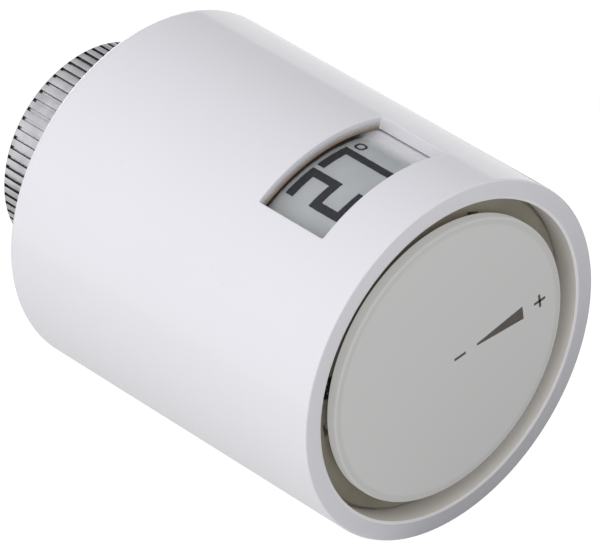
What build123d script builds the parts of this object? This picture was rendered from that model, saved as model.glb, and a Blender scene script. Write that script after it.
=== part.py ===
"""Thermostatic radiator valve head: a battery driven actuator under a round setting sleeve.

The head lies along Y. The mouth of its union nut is at the origin and the nut faces +Y, the setting
face looks along -Y and the display is on top. Every height below is counted from the mouth of the
nut towards the setting face, so a height h lies in the plane y = -h. Millimetres throughout.
"""

from build123d import *
import os
from math import acos, asin, copysign, cos, degrees, pi, radians, sin, tan

# ---- overall form --------------------------------------------------------------------------------
overall_length = 80.0  # mouth of the union nut to the rim of the sleeve
nut_protrusion = 14.5  # how far the nut and neck stand out behind the sleeve
sleeve_radius = 29.0
collar_wall = 3.15  # wall of the sleeve in front of the window
sleeve_wall = 1.9  # wall of the sleeve behind that collar
sleeve_back_fillet = 1.6
rim_bevel_width = 0.45  # shallow bevel round the mouth of the recess
rim_bevel_depth = 0.15
rim_fillet = 0.25
face_recess = 3.7  # floor of the setting face below the rim

# ---- clearances ----------------------------------------------------------------------------------
running = 0.06  # radial clearance of a turning fit
guide_running = 0.08  # radial clearance between the sleeve and its guide ring
touch = 0.02  # radial clearance of parts pushed together and left there
gap = 0.3  # air between neighbours that never touch
end_float = 0.1  # axial play of a turning part

# ---- valve connection: M30 x 1.5 -----------------------------------------------------------------
thread_radius = 15.0
thread_length = 7.2
thread_lead_in = 0.5
nut_wall = 2.4
nut_groove_count = 68
nut_groove_width = 0.55
nut_groove_depth = 0.4
nut_web = 2.4
nut_web_height = 10.0
nut_relief = 0.35
neck_radius = 13.2
seat_height = 8.0  # the face that lands on the valve body
gland_recess_radius = 10.5
gland_recess_depth = 8.5
pin_bore_radius = 6.0
open_pin_height = 16.0  # seat to plunger tip with the valve open
stroke = 4.5
journal_radius = 16.0
flange_thickness = 1.5

# ---- turning ring and sleeve drive ---------------------------------------------------------------
ring_plate = 1.8
dog_count = 4
dog_width = 5.0
dog_height = 0.7
centring_wire = 0.7
magnet_radius = 2.0
magnet_length = 1.4

# ---- power ---------------------------------------------------------------------------------------
cell_radius = 7.25
cell_length = 50.5
cell_nub_radius = 2.7
cell_nub_length = 1.0
cell_slack = 0.2
cell_angle = 29.5  # below the horizontal, each side
contact_sheet = 0.5

# ---- gear train: the same pinion and wheel at every step, in three modules -----------------------
pinion_teeth = 11
wheel_teeth = 44
pressure_angle = 25.0
addendum = 0.9
dedendum = 1.15
tooth_play = 0.14  # thinning of each tooth, in modules
output_module = 0.4
middle_module = 0.875 * output_module
motor_module = 0.625 * output_module
gear_two_angle = 37.0  # where gear two stands round the output gear
gear_one_angle = 155.0  # where gear one stands round gear two
motor_angle = 200.0  # where the motor stands round gear one
axle_radius = 0.6
spindle_radius = 5.0 * output_module
plunger_radius = 3.5
plunger_length = 6.0
plunger_flat = 0.4
motor_radius = 6.0
motor_length = 16.0
motor_shaft_radius = 0.5
end_cap_height = 2.0
terminal_height = 1.2  # of the motor terminals above the end cap
gearbox_wall = 0.9
gearbox_plate = 1.6

# ---- electronics and display ---------------------------------------------------------------------
board_drop = 8.05  # board below the bore of the sleeve
board_thickness = 1.0
board_width = 28.0
window_angle = 51.0
window_length = 13.5
window_setback = 10.0  # rim to the front edge of the window
window_rim = 1.5  # sleeve wall between the window and the front collar
setting_turn = 12.0  # how far the sleeve turns each way
lens_thickness = 0.75
display_overlap = 1.2
panel_thickness = 0.7
carrier_thickness = 1.2

# ---- setting face --------------------------------------------------------------------------------
disc_radius = 22.9
disc_thickness = 1.85
disc_setback = 0.25  # disc front below the rim
disc_front_fillet = 0.35
disc_rear_fillet = 0.3
cap_thickness = 2.3
slot_angles = (-91.0, 29.0, 149.0)  # clips of the disc, measured from the top
slot_radius = 21.2
slot_width = 2.4
slot_depth = 2.2

# ---- fasteners -----------------------------------------------------------------------------------
screw_radius = 0.9
screw_head_radius = 1.8
screw_head_height = 1.1
screw_hole = screw_radius + 0.1
screw_sink = screw_head_radius + 0.1
flat_head = 0.8  # height of the flush heads behind the flange
post_radius = 2.2

# ---- heights and radii that follow ---------------------------------------------------------------
rim_height = overall_length
back_height = nut_protrusion
bore_radius = sleeve_radius - collar_wall
rear_bore_radius = sleeve_radius - sleeve_wall
floor_height = rim_height - face_recess
cap_back = floor_height - cap_thickness
cap_radius = bore_radius - gap
nut_radius = thread_radius + nut_wall
nut_length = nut_protrusion - 0.5
gland_top = seat_height + gland_recess_depth
tip_height = seat_height + open_pin_height
guide_top = tip_height + plunger_length
guide_radius = plunger_radius + 2 * running
dome_radius = pin_bore_radius + 1.5
ring_back = back_height + gap
ring_front = ring_back + ring_plate
journal_top = ring_front + 1.4
flange_top = journal_top + flange_thickness
chassis_radius = bore_radius - 0.8
flange_radius = chassis_radius - 0.8
ring_radius = rear_bore_radius - 0.1
dog_radius = ring_radius + dog_height

bay_radius = cell_radius + cell_slack
cell_ring = chassis_radius - bay_radius
cell_x = cell_ring * cos(radians(cell_angle))
cell_z = -cell_ring * sin(radians(cell_angle))
bridge_from = cap_back - contact_sheet
left_cell_from = bridge_from - cell_length
right_cell_from = flange_top + contact_sheet
shelf_z = -gap

wheel_tip = wheel_teeth / 2 + addendum
gear_base = guide_top + 0.6
layer_one = (gear_base, gear_base + 2.5)
layer_two = (gear_base + 3.0, gear_base + 5.0)
layer_three = (gear_base + 5.5, gear_base + 7.3)
cover_from = gear_base + 8.3
cover_to = cover_from + 2.0
case_from = guide_top - 2.0
mesh_teeth = (wheel_teeth + pinion_teeth) / 2


def beside(centre, distance, angle):
    """Returns the point at a distance and angle (degrees from +X towards +Z) from a centre."""
    return (
        centre[0] + distance * cos(radians(angle)),
        centre[1] + distance * sin(radians(angle)),
    )


output_at = (0.0, 0.0)
gear_two_at = beside(output_at, mesh_teeth * output_module, gear_two_angle)
gear_one_at = beside(gear_two_at, mesh_teeth * middle_module, gear_one_angle)
motor_at = beside(gear_one_at, mesh_teeth * motor_module, motor_angle)
motor_back = cover_to
motor_front = motor_back + motor_length

board_z = bore_radius - board_drop
board_top = board_z + board_thickness
board_from = flange_top + 2.0
board_to = cap_back - 2.0
rail_x = board_width / 2 - 0.2
window_front = rim_height - window_setback
window_back = window_front - window_length
collar_from = window_front + window_rim
lens_radius = rear_bore_radius - 0.25
panel_radius = lens_radius - lens_thickness
carrier_radius = panel_radius - panel_thickness
carrier_angle = window_angle + 2 * (setting_turn + 1.0)
display_from = window_back - display_overlap
display_to = window_front + display_overlap
window_centre = (window_front + window_back) / 2
side_signs = (-1, 1)

post_at = [(side * (chassis_radius - 4.7), 6.5) for side in side_signs]
post_at.append((0.0, -(chassis_radius - 3.7)))
web_x = chassis_radius - 4.7

# the walls of the gear case follow circles round the gears
case_circles = [
    (output_at, wheel_tip * output_module + 0.4),
    (gear_two_at, wheel_tip * middle_module + 0.4),
    (gear_one_at, wheel_tip * motor_module + 0.45),
    (motor_at, 3.0),
]
lug_radius = 2.0


def lug(circle, angle):
    """Returns the centre of a screw lug on the outside of a gear case circle."""
    centre, radius = circle
    return beside(centre, radius + screw_radius + 0.25, angle)


lug_at = [
    lug(case_circles[0], 162.0),
    lug(case_circles[1], 111.0),
    lug(case_circles[1], -22.0),
    lug(case_circles[3], 105.0),
]

profile_plane = Plane(origin=(0, 0, 0), x_dir=(1, 0, 0), z_dir=(0, 0, -1))


# ---- helpers -------------------------------------------------------------------------------------
def level(height, centre=(0.0, 0.0)):
    """Returns the plane across the axis at a height, centred on (x, z), looking to the front."""
    return Plane(origin=(centre[0], -height, centre[1]), x_dir=(1, 0, 0), z_dir=(0, -1, 0))


def disc(radius, start, end, centre=(0.0, 0.0), mode=Mode.ADD):
    """Adds or cuts a round slab between two heights in the part being built."""
    with BuildSketch(level(start, centre)) as outline:
        Circle(radius)
    extrude(outline.sketch, amount=end - start, mode=mode)


def tube(outer, inner, start, end, centre=(0.0, 0.0), mode=Mode.ADD):
    """Adds or cuts a round tube between two heights in the part being built."""
    with BuildSketch(level(start, centre)) as outline:
        Circle(outer)
        Circle(inner, mode=Mode.SUBTRACT)
    extrude(outline.sketch, amount=end - start, mode=mode)


def slab(width, depth, start, end, centre=(0.0, 0.0), turn=0.0, mode=Mode.ADD):
    """Adds or cuts a block between two heights, width along X and depth along Z before its turn."""
    with BuildSketch(level(start, centre)) as outline:
        Rectangle(width, depth, rotation=turn)
    extrude(outline.sketch, amount=end - start, mode=mode)


def turned(points, mode=Mode.ADD):
    """Adds or cuts the solid that a closed outline of (radius, height) points makes about the axis."""
    with BuildSketch(profile_plane) as outline:
        with BuildLine():
            Polyline(*points, close=True)
        make_face()
    revolve(outline.sketch, axis=Axis.Y, mode=mode)


def arc_wall(outer, inner, angle, start, end, mode=Mode.ADD):
    """Adds or cuts a curved wall that spans an angle about the top of the head."""
    with BuildSketch(level(start)) as outline:
        Circle(outer)
        Circle(inner, mode=Mode.SUBTRACT)
        reach = 2 * outer
        half = radians(angle / 2)
        with BuildLine():
            Polyline(
                (0, 0),
                (-reach * sin(half), reach * cos(half)),
                (reach * sin(half), reach * cos(half)),
                close=True,
            )
        make_face(mode=Mode.INTERSECT)
    extrude(outline.sketch, amount=end - start, mode=mode)


def from_top(radius, angle):
    """Returns (x, z) at a radius and an angle measured from the top towards +X."""
    return (radius * sin(radians(angle)), radius * cos(radians(angle)))


def screw(centre, head_top, length):
    """Adds a countersunk-drive screw whose head looks to the front and whose shank goes back."""
    head_from = head_top - screw_head_height
    disc(screw_head_radius, head_from, head_top, centre)
    disc(screw_radius - touch, head_from - length, head_from, centre)
    for turn in (0, 90):
        slab(2.2, 0.45, head_top - 0.6, head_top, centre, turn, mode=Mode.SUBTRACT)


def involute(angle):
    """Returns the involute function of an angle in radians."""
    return tan(angle) - angle


def mesh_phase(teeth, phase, mate_teeth, direction):
    """Returns the phase (degrees) that puts a gear in mesh with a neighbour of known phase.

    direction is the angle from the known gear's centre to the new gear's centre.
    """
    return direction + 180.0 + (180.0 - (phase - direction) * teeth) / mate_teeth


def spur_gear(module, teeth, phase, centre, start, end):
    """Adds a spur gear with a tooth centred on the phase angle to the part being built."""
    pitch = module * teeth / 2
    base = pitch * cos(radians(pressure_angle))
    tip = pitch + addendum * module
    root = pitch - dedendum * module
    foot = max(base, root)
    half_pitch = (pi / 2 - tooth_play) * module / (2 * pitch)

    def half_angle(radius):
        """Returns half the angle of a tooth at a radius."""
        turn = acos(min(1.0, base / radius))
        return half_pitch + involute(radians(pressure_angle)) - involute(turn)

    def point(radius, angle):
        """Returns the sketch point at a radius and angle."""
        return (radius * cos(angle), radius * sin(angle))

    middle = (foot + tip) / 2
    with BuildSketch(level(start, centre)) as outline:
        with BuildLine():
            for tooth in range(teeth):
                axis_angle = radians(phase) + 2 * pi * tooth / teeth
                near = half_angle(foot)
                for sign in (-1, 1):
                    flank = axis_angle + sign * near
                    if foot > root + 1e-6:
                        Line(point(root, flank), point(foot, flank))
                    ThreePointArc(
                        point(foot, flank),
                        point(middle, axis_angle + sign * half_angle(middle)),
                        point(tip, axis_angle + sign * half_angle(tip)),
                    )
                crest = half_angle(tip)
                Line(point(tip, axis_angle - crest), point(tip, axis_angle + crest))
                next_angle = axis_angle + 2 * pi / teeth
                Line(point(root, axis_angle + near), point(root, next_angle - near))
        make_face()
    extrude(outline.sketch, amount=end - start)


def finish(part, name):
    """Labels a finished piece and writes it to its own file."""
    part.label = name
    export_step(part, f"parts/{name}.step")


os.makedirs("parts", exist_ok=True)

# ==================================================================================================
# Union nut, its ring and the mounting neck
# ==================================================================================================
skirt_radius = journal_radius + 0.35

with BuildPart() as union_nut:
    disc(nut_radius, 0, nut_length)
    outer_edges = union_nut.edges().filter_by(GeomType.CIRCLE)
    chamfer(outer_edges, length=0.5)
    # the knurl is a ring of narrow axial grooves
    with BuildSketch(level(0)) as grooves:
        with PolarLocations(nut_radius, nut_groove_count):
            Rectangle(2 * nut_groove_depth, nut_groove_width)
    extrude(amount=nut_length, mode=Mode.SUBTRACT)
    # thread, its relief, the running bore on the neck and the skirt over the journal
    turned(
        [
            (0, 0),
            (thread_radius + thread_lead_in, 0),
            (thread_radius, thread_lead_in),
            (thread_radius, thread_lead_in + thread_length),
            (thread_radius + nut_relief, thread_lead_in + thread_length),
            (thread_radius + nut_relief, nut_web_height),
            (neck_radius + running, nut_web_height),
            (neck_radius + running, nut_web_height + nut_web),
            (skirt_radius, nut_web_height + nut_web),
            (skirt_radius, nut_length),
            (0, nut_length),
        ],
        mode=Mode.SUBTRACT,
    )
finish(union_nut.part, "union_nut")

clip_from = nut_web_height - 1.0
clip_to = nut_web_height - 0.2
clip_groove = 0.7
with BuildPart() as nut_retaining_ring:
    tube(neck_radius + 0.8, neck_radius - clip_groove + touch, clip_from, clip_to)
    slab(3.0, 6.0, clip_from, clip_to, (0, -neck_radius), mode=Mode.SUBTRACT)
finish(nut_retaining_ring.part, "nut_retaining_ring")

journal_from = nut_web_height + nut_web + gap
circlip_from = nut_length + 0.2
circlip_to = circlip_from + 0.5
circlip_groove = 0.8
with BuildPart() as mounting_neck:
    turned(
        [
            (gland_recess_radius, seat_height),
            (neck_radius, seat_height),
            (neck_radius, clip_from),
            (neck_radius - clip_groove, clip_from),
            (neck_radius - clip_groove, clip_to),
            (neck_radius, clip_to),
            (neck_radius, journal_from),
            (journal_radius, journal_from),
            (journal_radius, circlip_from),
            (journal_radius - circlip_groove, circlip_from),
            (journal_radius - circlip_groove, circlip_to),
            (journal_radius, circlip_to),
            (journal_radius, journal_top),
            (flange_radius, journal_top),
            (flange_radius, flange_top),
            (dome_radius, flange_top),
            (dome_radius, guide_top),
            (guide_radius - 1.5, guide_top),
            (guide_radius - 1.5, tip_height),
            (pin_bore_radius, tip_height),
            (pin_bore_radius, gland_top),
            (gland_recess_radius, gland_top),
        ]
    )
    # the plunger guide is round with two flats, which keep the plunger from turning
    with BuildSketch(level(tip_height)) as guide:
        Circle(guide_radius)
        Rectangle(2 * guide_radius, 2 * (guide_radius - plunger_flat), mode=Mode.INTERSECT)
    extrude(amount=plunger_length, mode=Mode.SUBTRACT)
    # screws from the rear into the chassis posts
    for centre in post_at:
        disc(screw_radius + touch, journal_top, flange_top, centre, mode=Mode.SUBTRACT)
        disc(screw_sink, journal_top, journal_top + flat_head, centre, mode=Mode.SUBTRACT)
    # stop for the centring spring, at the bottom of the flange
    spring_ring = (journal_radius + 2.3 + ring_radius) / 2 - 1.6
    stop_radius = 1.0
    disc(stop_radius, journal_top - 1.1, journal_top, from_top(spring_ring - 1.4, 180))
finish(mounting_neck.part, "mounting_neck")

with BuildPart() as turn_ring_circlip:
    tube(journal_radius + 1.1, journal_radius - circlip_groove + touch, circlip_from, circlip_to)
    slab(3.5, 7.0, circlip_from, circlip_to, (0, -journal_radius), mode=Mode.SUBTRACT)
finish(turn_ring_circlip.part, "turn_ring_circlip")

# ==================================================================================================
# Turning ring, its magnet and the centring spring
# ==================================================================================================
dog_from = ring_back + 0.1
dog_play = 0.15
dog_angles = [45.0 + 360.0 / dog_count * number for number in range(dog_count)]
magnet_ring = journal_radius + 6.0
hub_to = journal_top - end_float
turn_post_radius = 1.2

with BuildPart() as turn_ring:
    disc(ring_radius, ring_back, ring_front)
    disc(journal_radius + 2.2, ring_front, hub_to)
    disc(journal_radius + running, ring_back, hub_to, mode=Mode.SUBTRACT)
    # dogs that drive the sleeve
    with BuildSketch(level(dog_from)) as dogs:
        with PolarLocations(dog_radius - 1.5, dog_count, start_angle=dog_angles[0]):
            Rectangle(3.0, dog_width)
    extrude(amount=ring_front - dog_from)
    # post that pushes the centring spring
    disc(turn_post_radius, ring_front, hub_to, from_top(spring_ring + 1.3, 180))
    # pocket for the magnet
    disc(
        magnet_radius + touch,
        ring_front - magnet_length,
        ring_front,
        from_top(magnet_ring, 0),
        mode=Mode.SUBTRACT,
    )
finish(turn_ring.part, "turn_ring")

with BuildPart() as setting_magnet:
    disc(magnet_radius, ring_front - magnet_length, ring_front, from_top(magnet_ring, 0))
finish(setting_magnet.part, "setting_magnet")

# an open ring of wire with its two ends bent across the gap, one each side of both posts
spring_middle = (ring_front + journal_top) / 2
spring_end_angle = degrees((turn_post_radius + centring_wire / 2 + 0.25) / spring_ring)
end_pin_reach = 2.4
with BuildPart() as centring_spring:
    with BuildSketch(profile_plane.rotated((0, 90.0 + spring_end_angle, 0))) as wire:
        with Locations((spring_ring, spring_middle)):
            Circle(centring_wire / 2)
    revolve(axis=Axis.Y, revolution_arc=360.0 - 2 * spring_end_angle)
    for side in side_signs:
        angle = 180.0 + side * spring_end_angle
        foot_x, foot_z = from_top(spring_ring - end_pin_reach / 2, angle)
        direction = from_top(1.0, angle)
        pin_plane = Plane(
            origin=(foot_x, -spring_middle, foot_z),
            z_dir=(direction[0], 0, direction[1]),
        )
        with BuildSketch(pin_plane) as pin:
            Circle(centring_wire / 2)
        extrude(amount=end_pin_reach)
finish(centring_spring.part, "centring_spring")

# ==================================================================================================
# Setting sleeve and window
# ==================================================================================================
with BuildPart() as setting_sleeve:
    turned(
        [
            (bore_radius, rim_height - rim_bevel_depth),
            (bore_radius + rim_bevel_width, rim_height),
            (sleeve_radius, rim_height),
            (sleeve_radius, back_height),
            (rear_bore_radius, back_height),
            (rear_bore_radius, collar_from),
            (bore_radius, collar_from),
        ]
    )
    back_edges = setting_sleeve.edges().filter_by(GeomType.CIRCLE).group_by(Axis.Y)[-1]
    fillet(back_edges.sort_by(SortBy.RADIUS)[-1], radius=sleeve_back_fillet)
    rim_edges = setting_sleeve.edges().filter_by(GeomType.CIRCLE).group_by(Axis.Y)[0]
    fillet(rim_edges.sort_by(SortBy.RADIUS)[-1], radius=rim_fillet)
    arc_wall(sleeve_radius + 1, bore_radius - 1, window_angle, window_back, window_front, Mode.SUBTRACT)
    # notches for the dogs of the turning ring, open to the back
    with BuildSketch(level(back_height)) as notches:
        with PolarLocations(dog_radius - 1.4, dog_count, start_angle=dog_angles[0]):
            Rectangle(3.0, dog_width + 2 * dog_play)
    extrude(amount=ring_front + 0.1 - back_height, mode=Mode.SUBTRACT)
finish(setting_sleeve.part, "setting_sleeve")

# ==================================================================================================
# Front cap, guide ring and the floating disc
# ==================================================================================================
guide_from = cap_back + 0.5
guide_to = guide_from + 1.0
guide_groove = 1.2
cap_screw_sunk = 0.1
with BuildPart() as front_cap:
    disc(cap_radius, cap_back, floor_height)
    chamfer(front_cap.edges().filter_by(GeomType.CIRCLE).group_by(Axis.Y)[0], length=0.25)
    tube(cap_radius + 1, cap_radius - guide_groove, guide_from, guide_to, mode=Mode.SUBTRACT)
    for centre in post_at:
        disc(screw_hole, cap_back, floor_height, centre, mode=Mode.SUBTRACT)
        sink_from = floor_height - screw_head_height - cap_screw_sunk
        disc(screw_sink, sink_from, floor_height, centre, mode=Mode.SUBTRACT)
    for angle in slot_angles:
        slab(
            slot_width,
            slot_depth,
            cap_back,
            floor_height,
            from_top(slot_radius, angle),
            -angle,
            mode=Mode.SUBTRACT,
        )
    # way through for the temperature sensor
    slab(3.2, 2.2, cap_back, floor_height, (0, board_top), mode=Mode.SUBTRACT)
finish(front_cap.part, "front_cap")

guide_outer = bore_radius - guide_running
with BuildPart() as guide_ring:
    tube(guide_outer, cap_radius - guide_groove + touch, guide_from + touch, guide_to - touch)
    slab(1.2, 4.0, guide_from, guide_to, (0, -bore_radius), mode=Mode.SUBTRACT)
finish(guide_ring.part, "guide_ring")

disc_front = rim_height - disc_setback
disc_back = disc_front - disc_thickness
backing_depth = 0.9
backing_thickness = 0.7
backing_radius = disc_radius - 1.1
with BuildPart() as face_disc:
    disc(disc_radius, disc_back, disc_front)
    front_edge = face_disc.edges().filter_by(GeomType.CIRCLE).group_by(Axis.Y)[0]
    fillet(front_edge, radius=disc_front_fillet)
    rear_edge = face_disc.edges().filter_by(GeomType.CIRCLE).group_by(Axis.Y)[-1]
    fillet(rear_edge, radius=disc_rear_fillet)
    disc(backing_radius + touch, disc_back, disc_back + backing_depth, mode=Mode.SUBTRACT)
finish(face_disc.part, "face_disc")

backing_front = disc_back + backing_depth
with BuildPart() as face_disc_backing:
    disc(backing_radius, backing_front - backing_thickness, backing_front)
finish(face_disc_backing.part, "face_disc_backing")

# three sprung clips reach down through the slots of the cap
hook_thickness = 0.9
hook_width = slot_width - 0.4
hook_radius = slot_radius - slot_depth / 2 + hook_thickness / 2 + 0.1
carrier_front = backing_front - backing_thickness
with BuildPart() as disc_carrier:
    tube(14.0, 9.0, floor_height, carrier_front)
    for angle in slot_angles:
        slab(
            hook_width + 1.2,
            hook_radius + hook_thickness / 2 - 12.0,
            carrier_front - 0.8,
            carrier_front,
            from_top((hook_radius + hook_thickness / 2 + 12.0) / 2, angle),
            -angle,
        )
        slab(
            hook_width,
            hook_thickness,
            cap_back - 1.2,
            carrier_front,
            from_top(hook_radius, angle),
            -angle,
        )
        slab(
            hook_width,
            0.6,
            cap_back - 1.2,
            cap_back - 0.05,
            from_top(hook_radius + hook_thickness / 2 + 0.25, angle),
            -angle,
        )
finish(disc_carrier.part, "disc_carrier")

# ==================================================================================================
# Chassis with its cell bays, webs and rails
# ==================================================================================================
block_to = bridge_from - 0.2
rail_from = cover_to + 1.0
rail_thickness = 1.0
cradle_from = motor_front - 7.0
damper_wall = 0.8
damper_length = 2.4
bay_mouth = 2 * bay_radius * 0.86
board_screw_at = [
    (side * x, height)
    for side in side_signs
    for x, height in ((rail_x - 5.0, board_to - 4.0), (rail_x - 1.8, rail_from + 3.0))
]
boss_depth = 3.6
case_clear = 0.3
pilot_depth = 7.0
hollow_from = cover_to + 8.0
motor_clear_to = motor_front + end_cap_height + terminal_height + gap

with BuildPart() as chassis:
    # the lower half is one moulded block between the two cells
    with BuildSketch(level(flange_top)) as block:
        Circle(chassis_radius)
        with Locations((0, shelf_z - chassis_radius)):
            Rectangle(2 * chassis_radius, 2 * chassis_radius, mode=Mode.INTERSECT)
    extrude(amount=block_to - flange_top)
    with BuildSketch(level(flange_top)) as bays:
        for side in side_signs:
            with Locations((side * cell_x, cell_z)):
                Circle(bay_radius)
            mouth_x = side * (cell_x + bay_radius * cos(radians(cell_angle)))
            mouth_z = cell_z - bay_radius * sin(radians(cell_angle))
            with Locations((mouth_x, mouth_z)):
                Rectangle(2 * bay_radius, bay_mouth, rotation=-side * cell_angle)
    extrude(amount=block_to - flange_top, mode=Mode.SUBTRACT)
    # side webs with the screw posts, and the rails under the board
    for side in side_signs:
        slab(
            rail_thickness,
            post_at[1][1] - shelf_z + 1.0,
            flange_top,
            block_to,
            (side * web_x, (post_at[1][1] + shelf_z - 1.0) / 2),
        )
        slab(
            rail_thickness,
            board_z - shelf_z + 1.0,
            rail_from,
            board_to,
            (side * (rail_x - rail_thickness / 2), (board_z + shelf_z - 1.0) / 2),
        )
    for centre in post_at:
        disc(post_radius, flange_top, cap_back, centre)
    # cross web that cradles the motor, a little lower than the board
    slab(
        2 * rail_x - rail_thickness,
        board_z - shelf_z,
        cradle_from,
        cradle_from + 1.6,
        (0, (board_z + shelf_z) / 2 - 1.0),
    )
    disc(
        motor_radius + damper_wall + touch,
        cradle_from - 1,
        cradle_from + 3,
        motor_at,
        mode=Mode.SUBTRACT,
    )
    # bosses for the board screws
    for x, height in board_screw_at:
        inner = abs(x) - 1.7
        with BuildSketch(Plane(origin=(0, -height, board_z), z_dir=(0, 0, 1))) as boss:
            with Locations((copysign((inner + rail_x) / 2, x), 0)):
                Rectangle(rail_x - inner, 3.4)
        extrude(amount=-boss_depth)
        with BuildSketch(Plane(origin=(x, -height, board_z), z_dir=(0, 0, 1))) as pilot:
            Circle(screw_radius)
        extrude(amount=-boss_depth, mode=Mode.SUBTRACT)
    # room for the neck, the gear case and the end of the plunger spindle
    disc(dome_radius + gap, flange_top, case_from, mode=Mode.SUBTRACT)
    for centre, radius in case_circles[:2]:
        disc(
            radius + gearbox_wall + case_clear,
            case_from - case_clear,
            cover_to + case_clear,
            centre,
            mode=Mode.SUBTRACT,
        )
    for centre in lug_at:
        disc(lug_radius + gap, case_from - case_clear, cover_to + case_clear, centre, mode=Mode.SUBTRACT)
    disc(spindle_radius + 1.2, cover_to, cover_to + stroke + 1.5, mode=Mode.SUBTRACT)
    disc(motor_radius + running, motor_back, motor_front, motor_at, mode=Mode.SUBTRACT)
    disc(motor_radius, motor_front, motor_clear_to, motor_at, mode=Mode.SUBTRACT)
    # the block is hollow between the cells, open to the front
    slab(
        2 * (cell_x - bay_radius) - 4.0,
        chassis_radius - 12.5,
        hollow_from,
        block_to,
        (0, -(chassis_radius + 1.5) / 2),
        mode=Mode.SUBTRACT,
    )
    for angle in slot_angles:
        slab(
            slot_width + 0.6,
            slot_depth + 1.2,
            cap_back - 1.8,
            cap_back,
            from_top(slot_radius, angle),
            -angle,
            mode=Mode.SUBTRACT,
        )
    for centre in post_at:
        disc(post_radius, hollow_from, cap_back, centre)
        disc(screw_radius, flange_top, flange_top + pilot_depth, centre, mode=Mode.SUBTRACT)
        disc(screw_radius, cap_back - pilot_depth, cap_back, centre, mode=Mode.SUBTRACT)
finish(chassis.part, "chassis")

with BuildPart() as cap_screws:
    for centre in post_at:
        screw(centre, floor_height - cap_screw_sunk, pilot_depth - 1.0)
finish(cap_screws.part, "cap_screws")

with BuildPart() as chassis_screws:
    for centre in post_at:
        disc(screw_head_radius, journal_top, journal_top + flat_head - touch, centre)
        disc(screw_radius - touch, journal_top + flat_head - touch, flange_top + pilot_depth - gap, centre)
finish(chassis_screws.part, "chassis_screws")

# ==================================================================================================
# Cells and their contacts
# ==================================================================================================
for side, name in ((-1, "battery_left"), (1, "battery_right")):
    centre = (side * cell_x, cell_z)
    low = left_cell_from if side < 0 else right_cell_from
    body_from = low if side < 0 else low + cell_nub_length
    nub_from = body_from + cell_length - cell_nub_length if side < 0 else low
    with BuildPart() as cell:
        disc(cell_radius, body_from, body_from + cell_length - cell_nub_length, centre)
        chamfer(cell.edges().filter_by(GeomType.CIRCLE), length=0.35)
        disc(cell_nub_radius, nub_from, nub_from + cell_nub_length, centre)
    finish(cell.part, name)

spring_wide = 4.2
spring_narrow = 2.6
spring_wire = 0.6
# each conical spring is a thin cone, wide where it stands and narrow where it meets the cell
for name, side, foot_height, head_height in (
    ("contact_spring_left", -1, flange_top, left_cell_from),
    ("contact_spring_right", 1, bridge_from, right_cell_from + cell_length),
):
    with BuildPart() as contact_spring:
        for height, radius in ((foot_height, spring_wide), (head_height, spring_narrow)):
            with BuildSketch(level(height, (side * cell_x, cell_z))):
                Circle(radius)
                Circle(radius - spring_wire, mode=Mode.SUBTRACT)
        loft()
    finish(contact_spring.part, name)

with BuildPart() as positive_contact:
    slab(7.0, 7.0, flange_top, flange_top + contact_sheet, (cell_x, cell_z))
finish(positive_contact.part, "positive_contact")

with BuildPart() as bridge_contact:
    slab(2 * cell_x + 9.0, 6.0, bridge_from, cap_back, (0, cell_z))
    slab(2.0 * post_radius, 3.0, bridge_from, cap_back, (0, cell_z - 1.5), mode=Mode.SUBTRACT)
finish(bridge_contact.part, "bridge_contact")

# ==================================================================================================
# Gear train, motor and plunger
# ==================================================================================================
motor_phase = 0.0
wheel_one_phase = mesh_phase(pinion_teeth, motor_phase, wheel_teeth, motor_angle - 180.0)
pinion_one_phase = 0.0
wheel_two_phase = mesh_phase(pinion_teeth, pinion_one_phase, wheel_teeth, gear_one_angle - 180.0)
pinion_two_phase = 0.0
output_phase = mesh_phase(pinion_teeth, pinion_two_phase, wheel_teeth, gear_two_angle - 180.0)

axle_bore = axle_radius + running / 2
plate_inside = case_from + gearbox_plate
gear_hub = 1.3

pinion_from, pinion_to = layer_three[0], layer_three[1] + 0.4
with BuildPart() as motor_pinion:
    spur_gear(motor_module, pinion_teeth, motor_phase, motor_at, pinion_from, pinion_to)
    disc(motor_shaft_radius, pinion_from, pinion_to, motor_at, mode=Mode.SUBTRACT)
finish(motor_pinion.part, "motor_pinion")

with BuildPart() as gear_one:
    spur_gear(motor_module, wheel_teeth, wheel_one_phase, gear_one_at, *layer_three)
    spur_gear(middle_module, pinion_teeth, pinion_one_phase, gear_one_at, layer_one[1], layer_three[0])
    disc(gear_hub, plate_inside + end_float, layer_one[1], gear_one_at)
    disc(gear_hub, layer_three[1], cover_from - end_float, gear_one_at)
    disc(axle_bore, plate_inside, cover_from, gear_one_at, mode=Mode.SUBTRACT)
finish(gear_one.part, "gear_one")

with BuildPart() as gear_two:
    spur_gear(middle_module, wheel_teeth, wheel_two_phase, gear_two_at, *layer_two)
    spur_gear(output_module, pinion_teeth, pinion_two_phase, gear_two_at, layer_one[0], layer_two[0])
    disc(gear_hub, plate_inside + end_float, layer_one[0], gear_two_at)
    disc(gear_hub, layer_two[1], cover_from - end_float, gear_two_at)
    disc(axle_bore, plate_inside, cover_from, gear_two_at, mode=Mode.SUBTRACT)
finish(gear_two.part, "gear_two")

washer_thickness = 0.4
washer_from = cover_from - end_float - washer_thickness
output_hub = spindle_radius + 0.65
with BuildPart() as output_gear:
    spur_gear(output_module, wheel_teeth, output_phase, output_at, *layer_one)
    disc(output_hub, layer_one[1], washer_from)
    disc(output_hub, guide_top + end_float, layer_one[0])
    disc(spindle_radius + running, guide_top, washer_from, mode=Mode.SUBTRACT)
finish(output_gear.part, "output_gear")

with BuildPart() as thrust_washer:
    tube(spindle_radius + 1.7, spindle_radius + gap, washer_from + touch, cover_from)
finish(thrust_washer.part, "thrust_washer")

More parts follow.
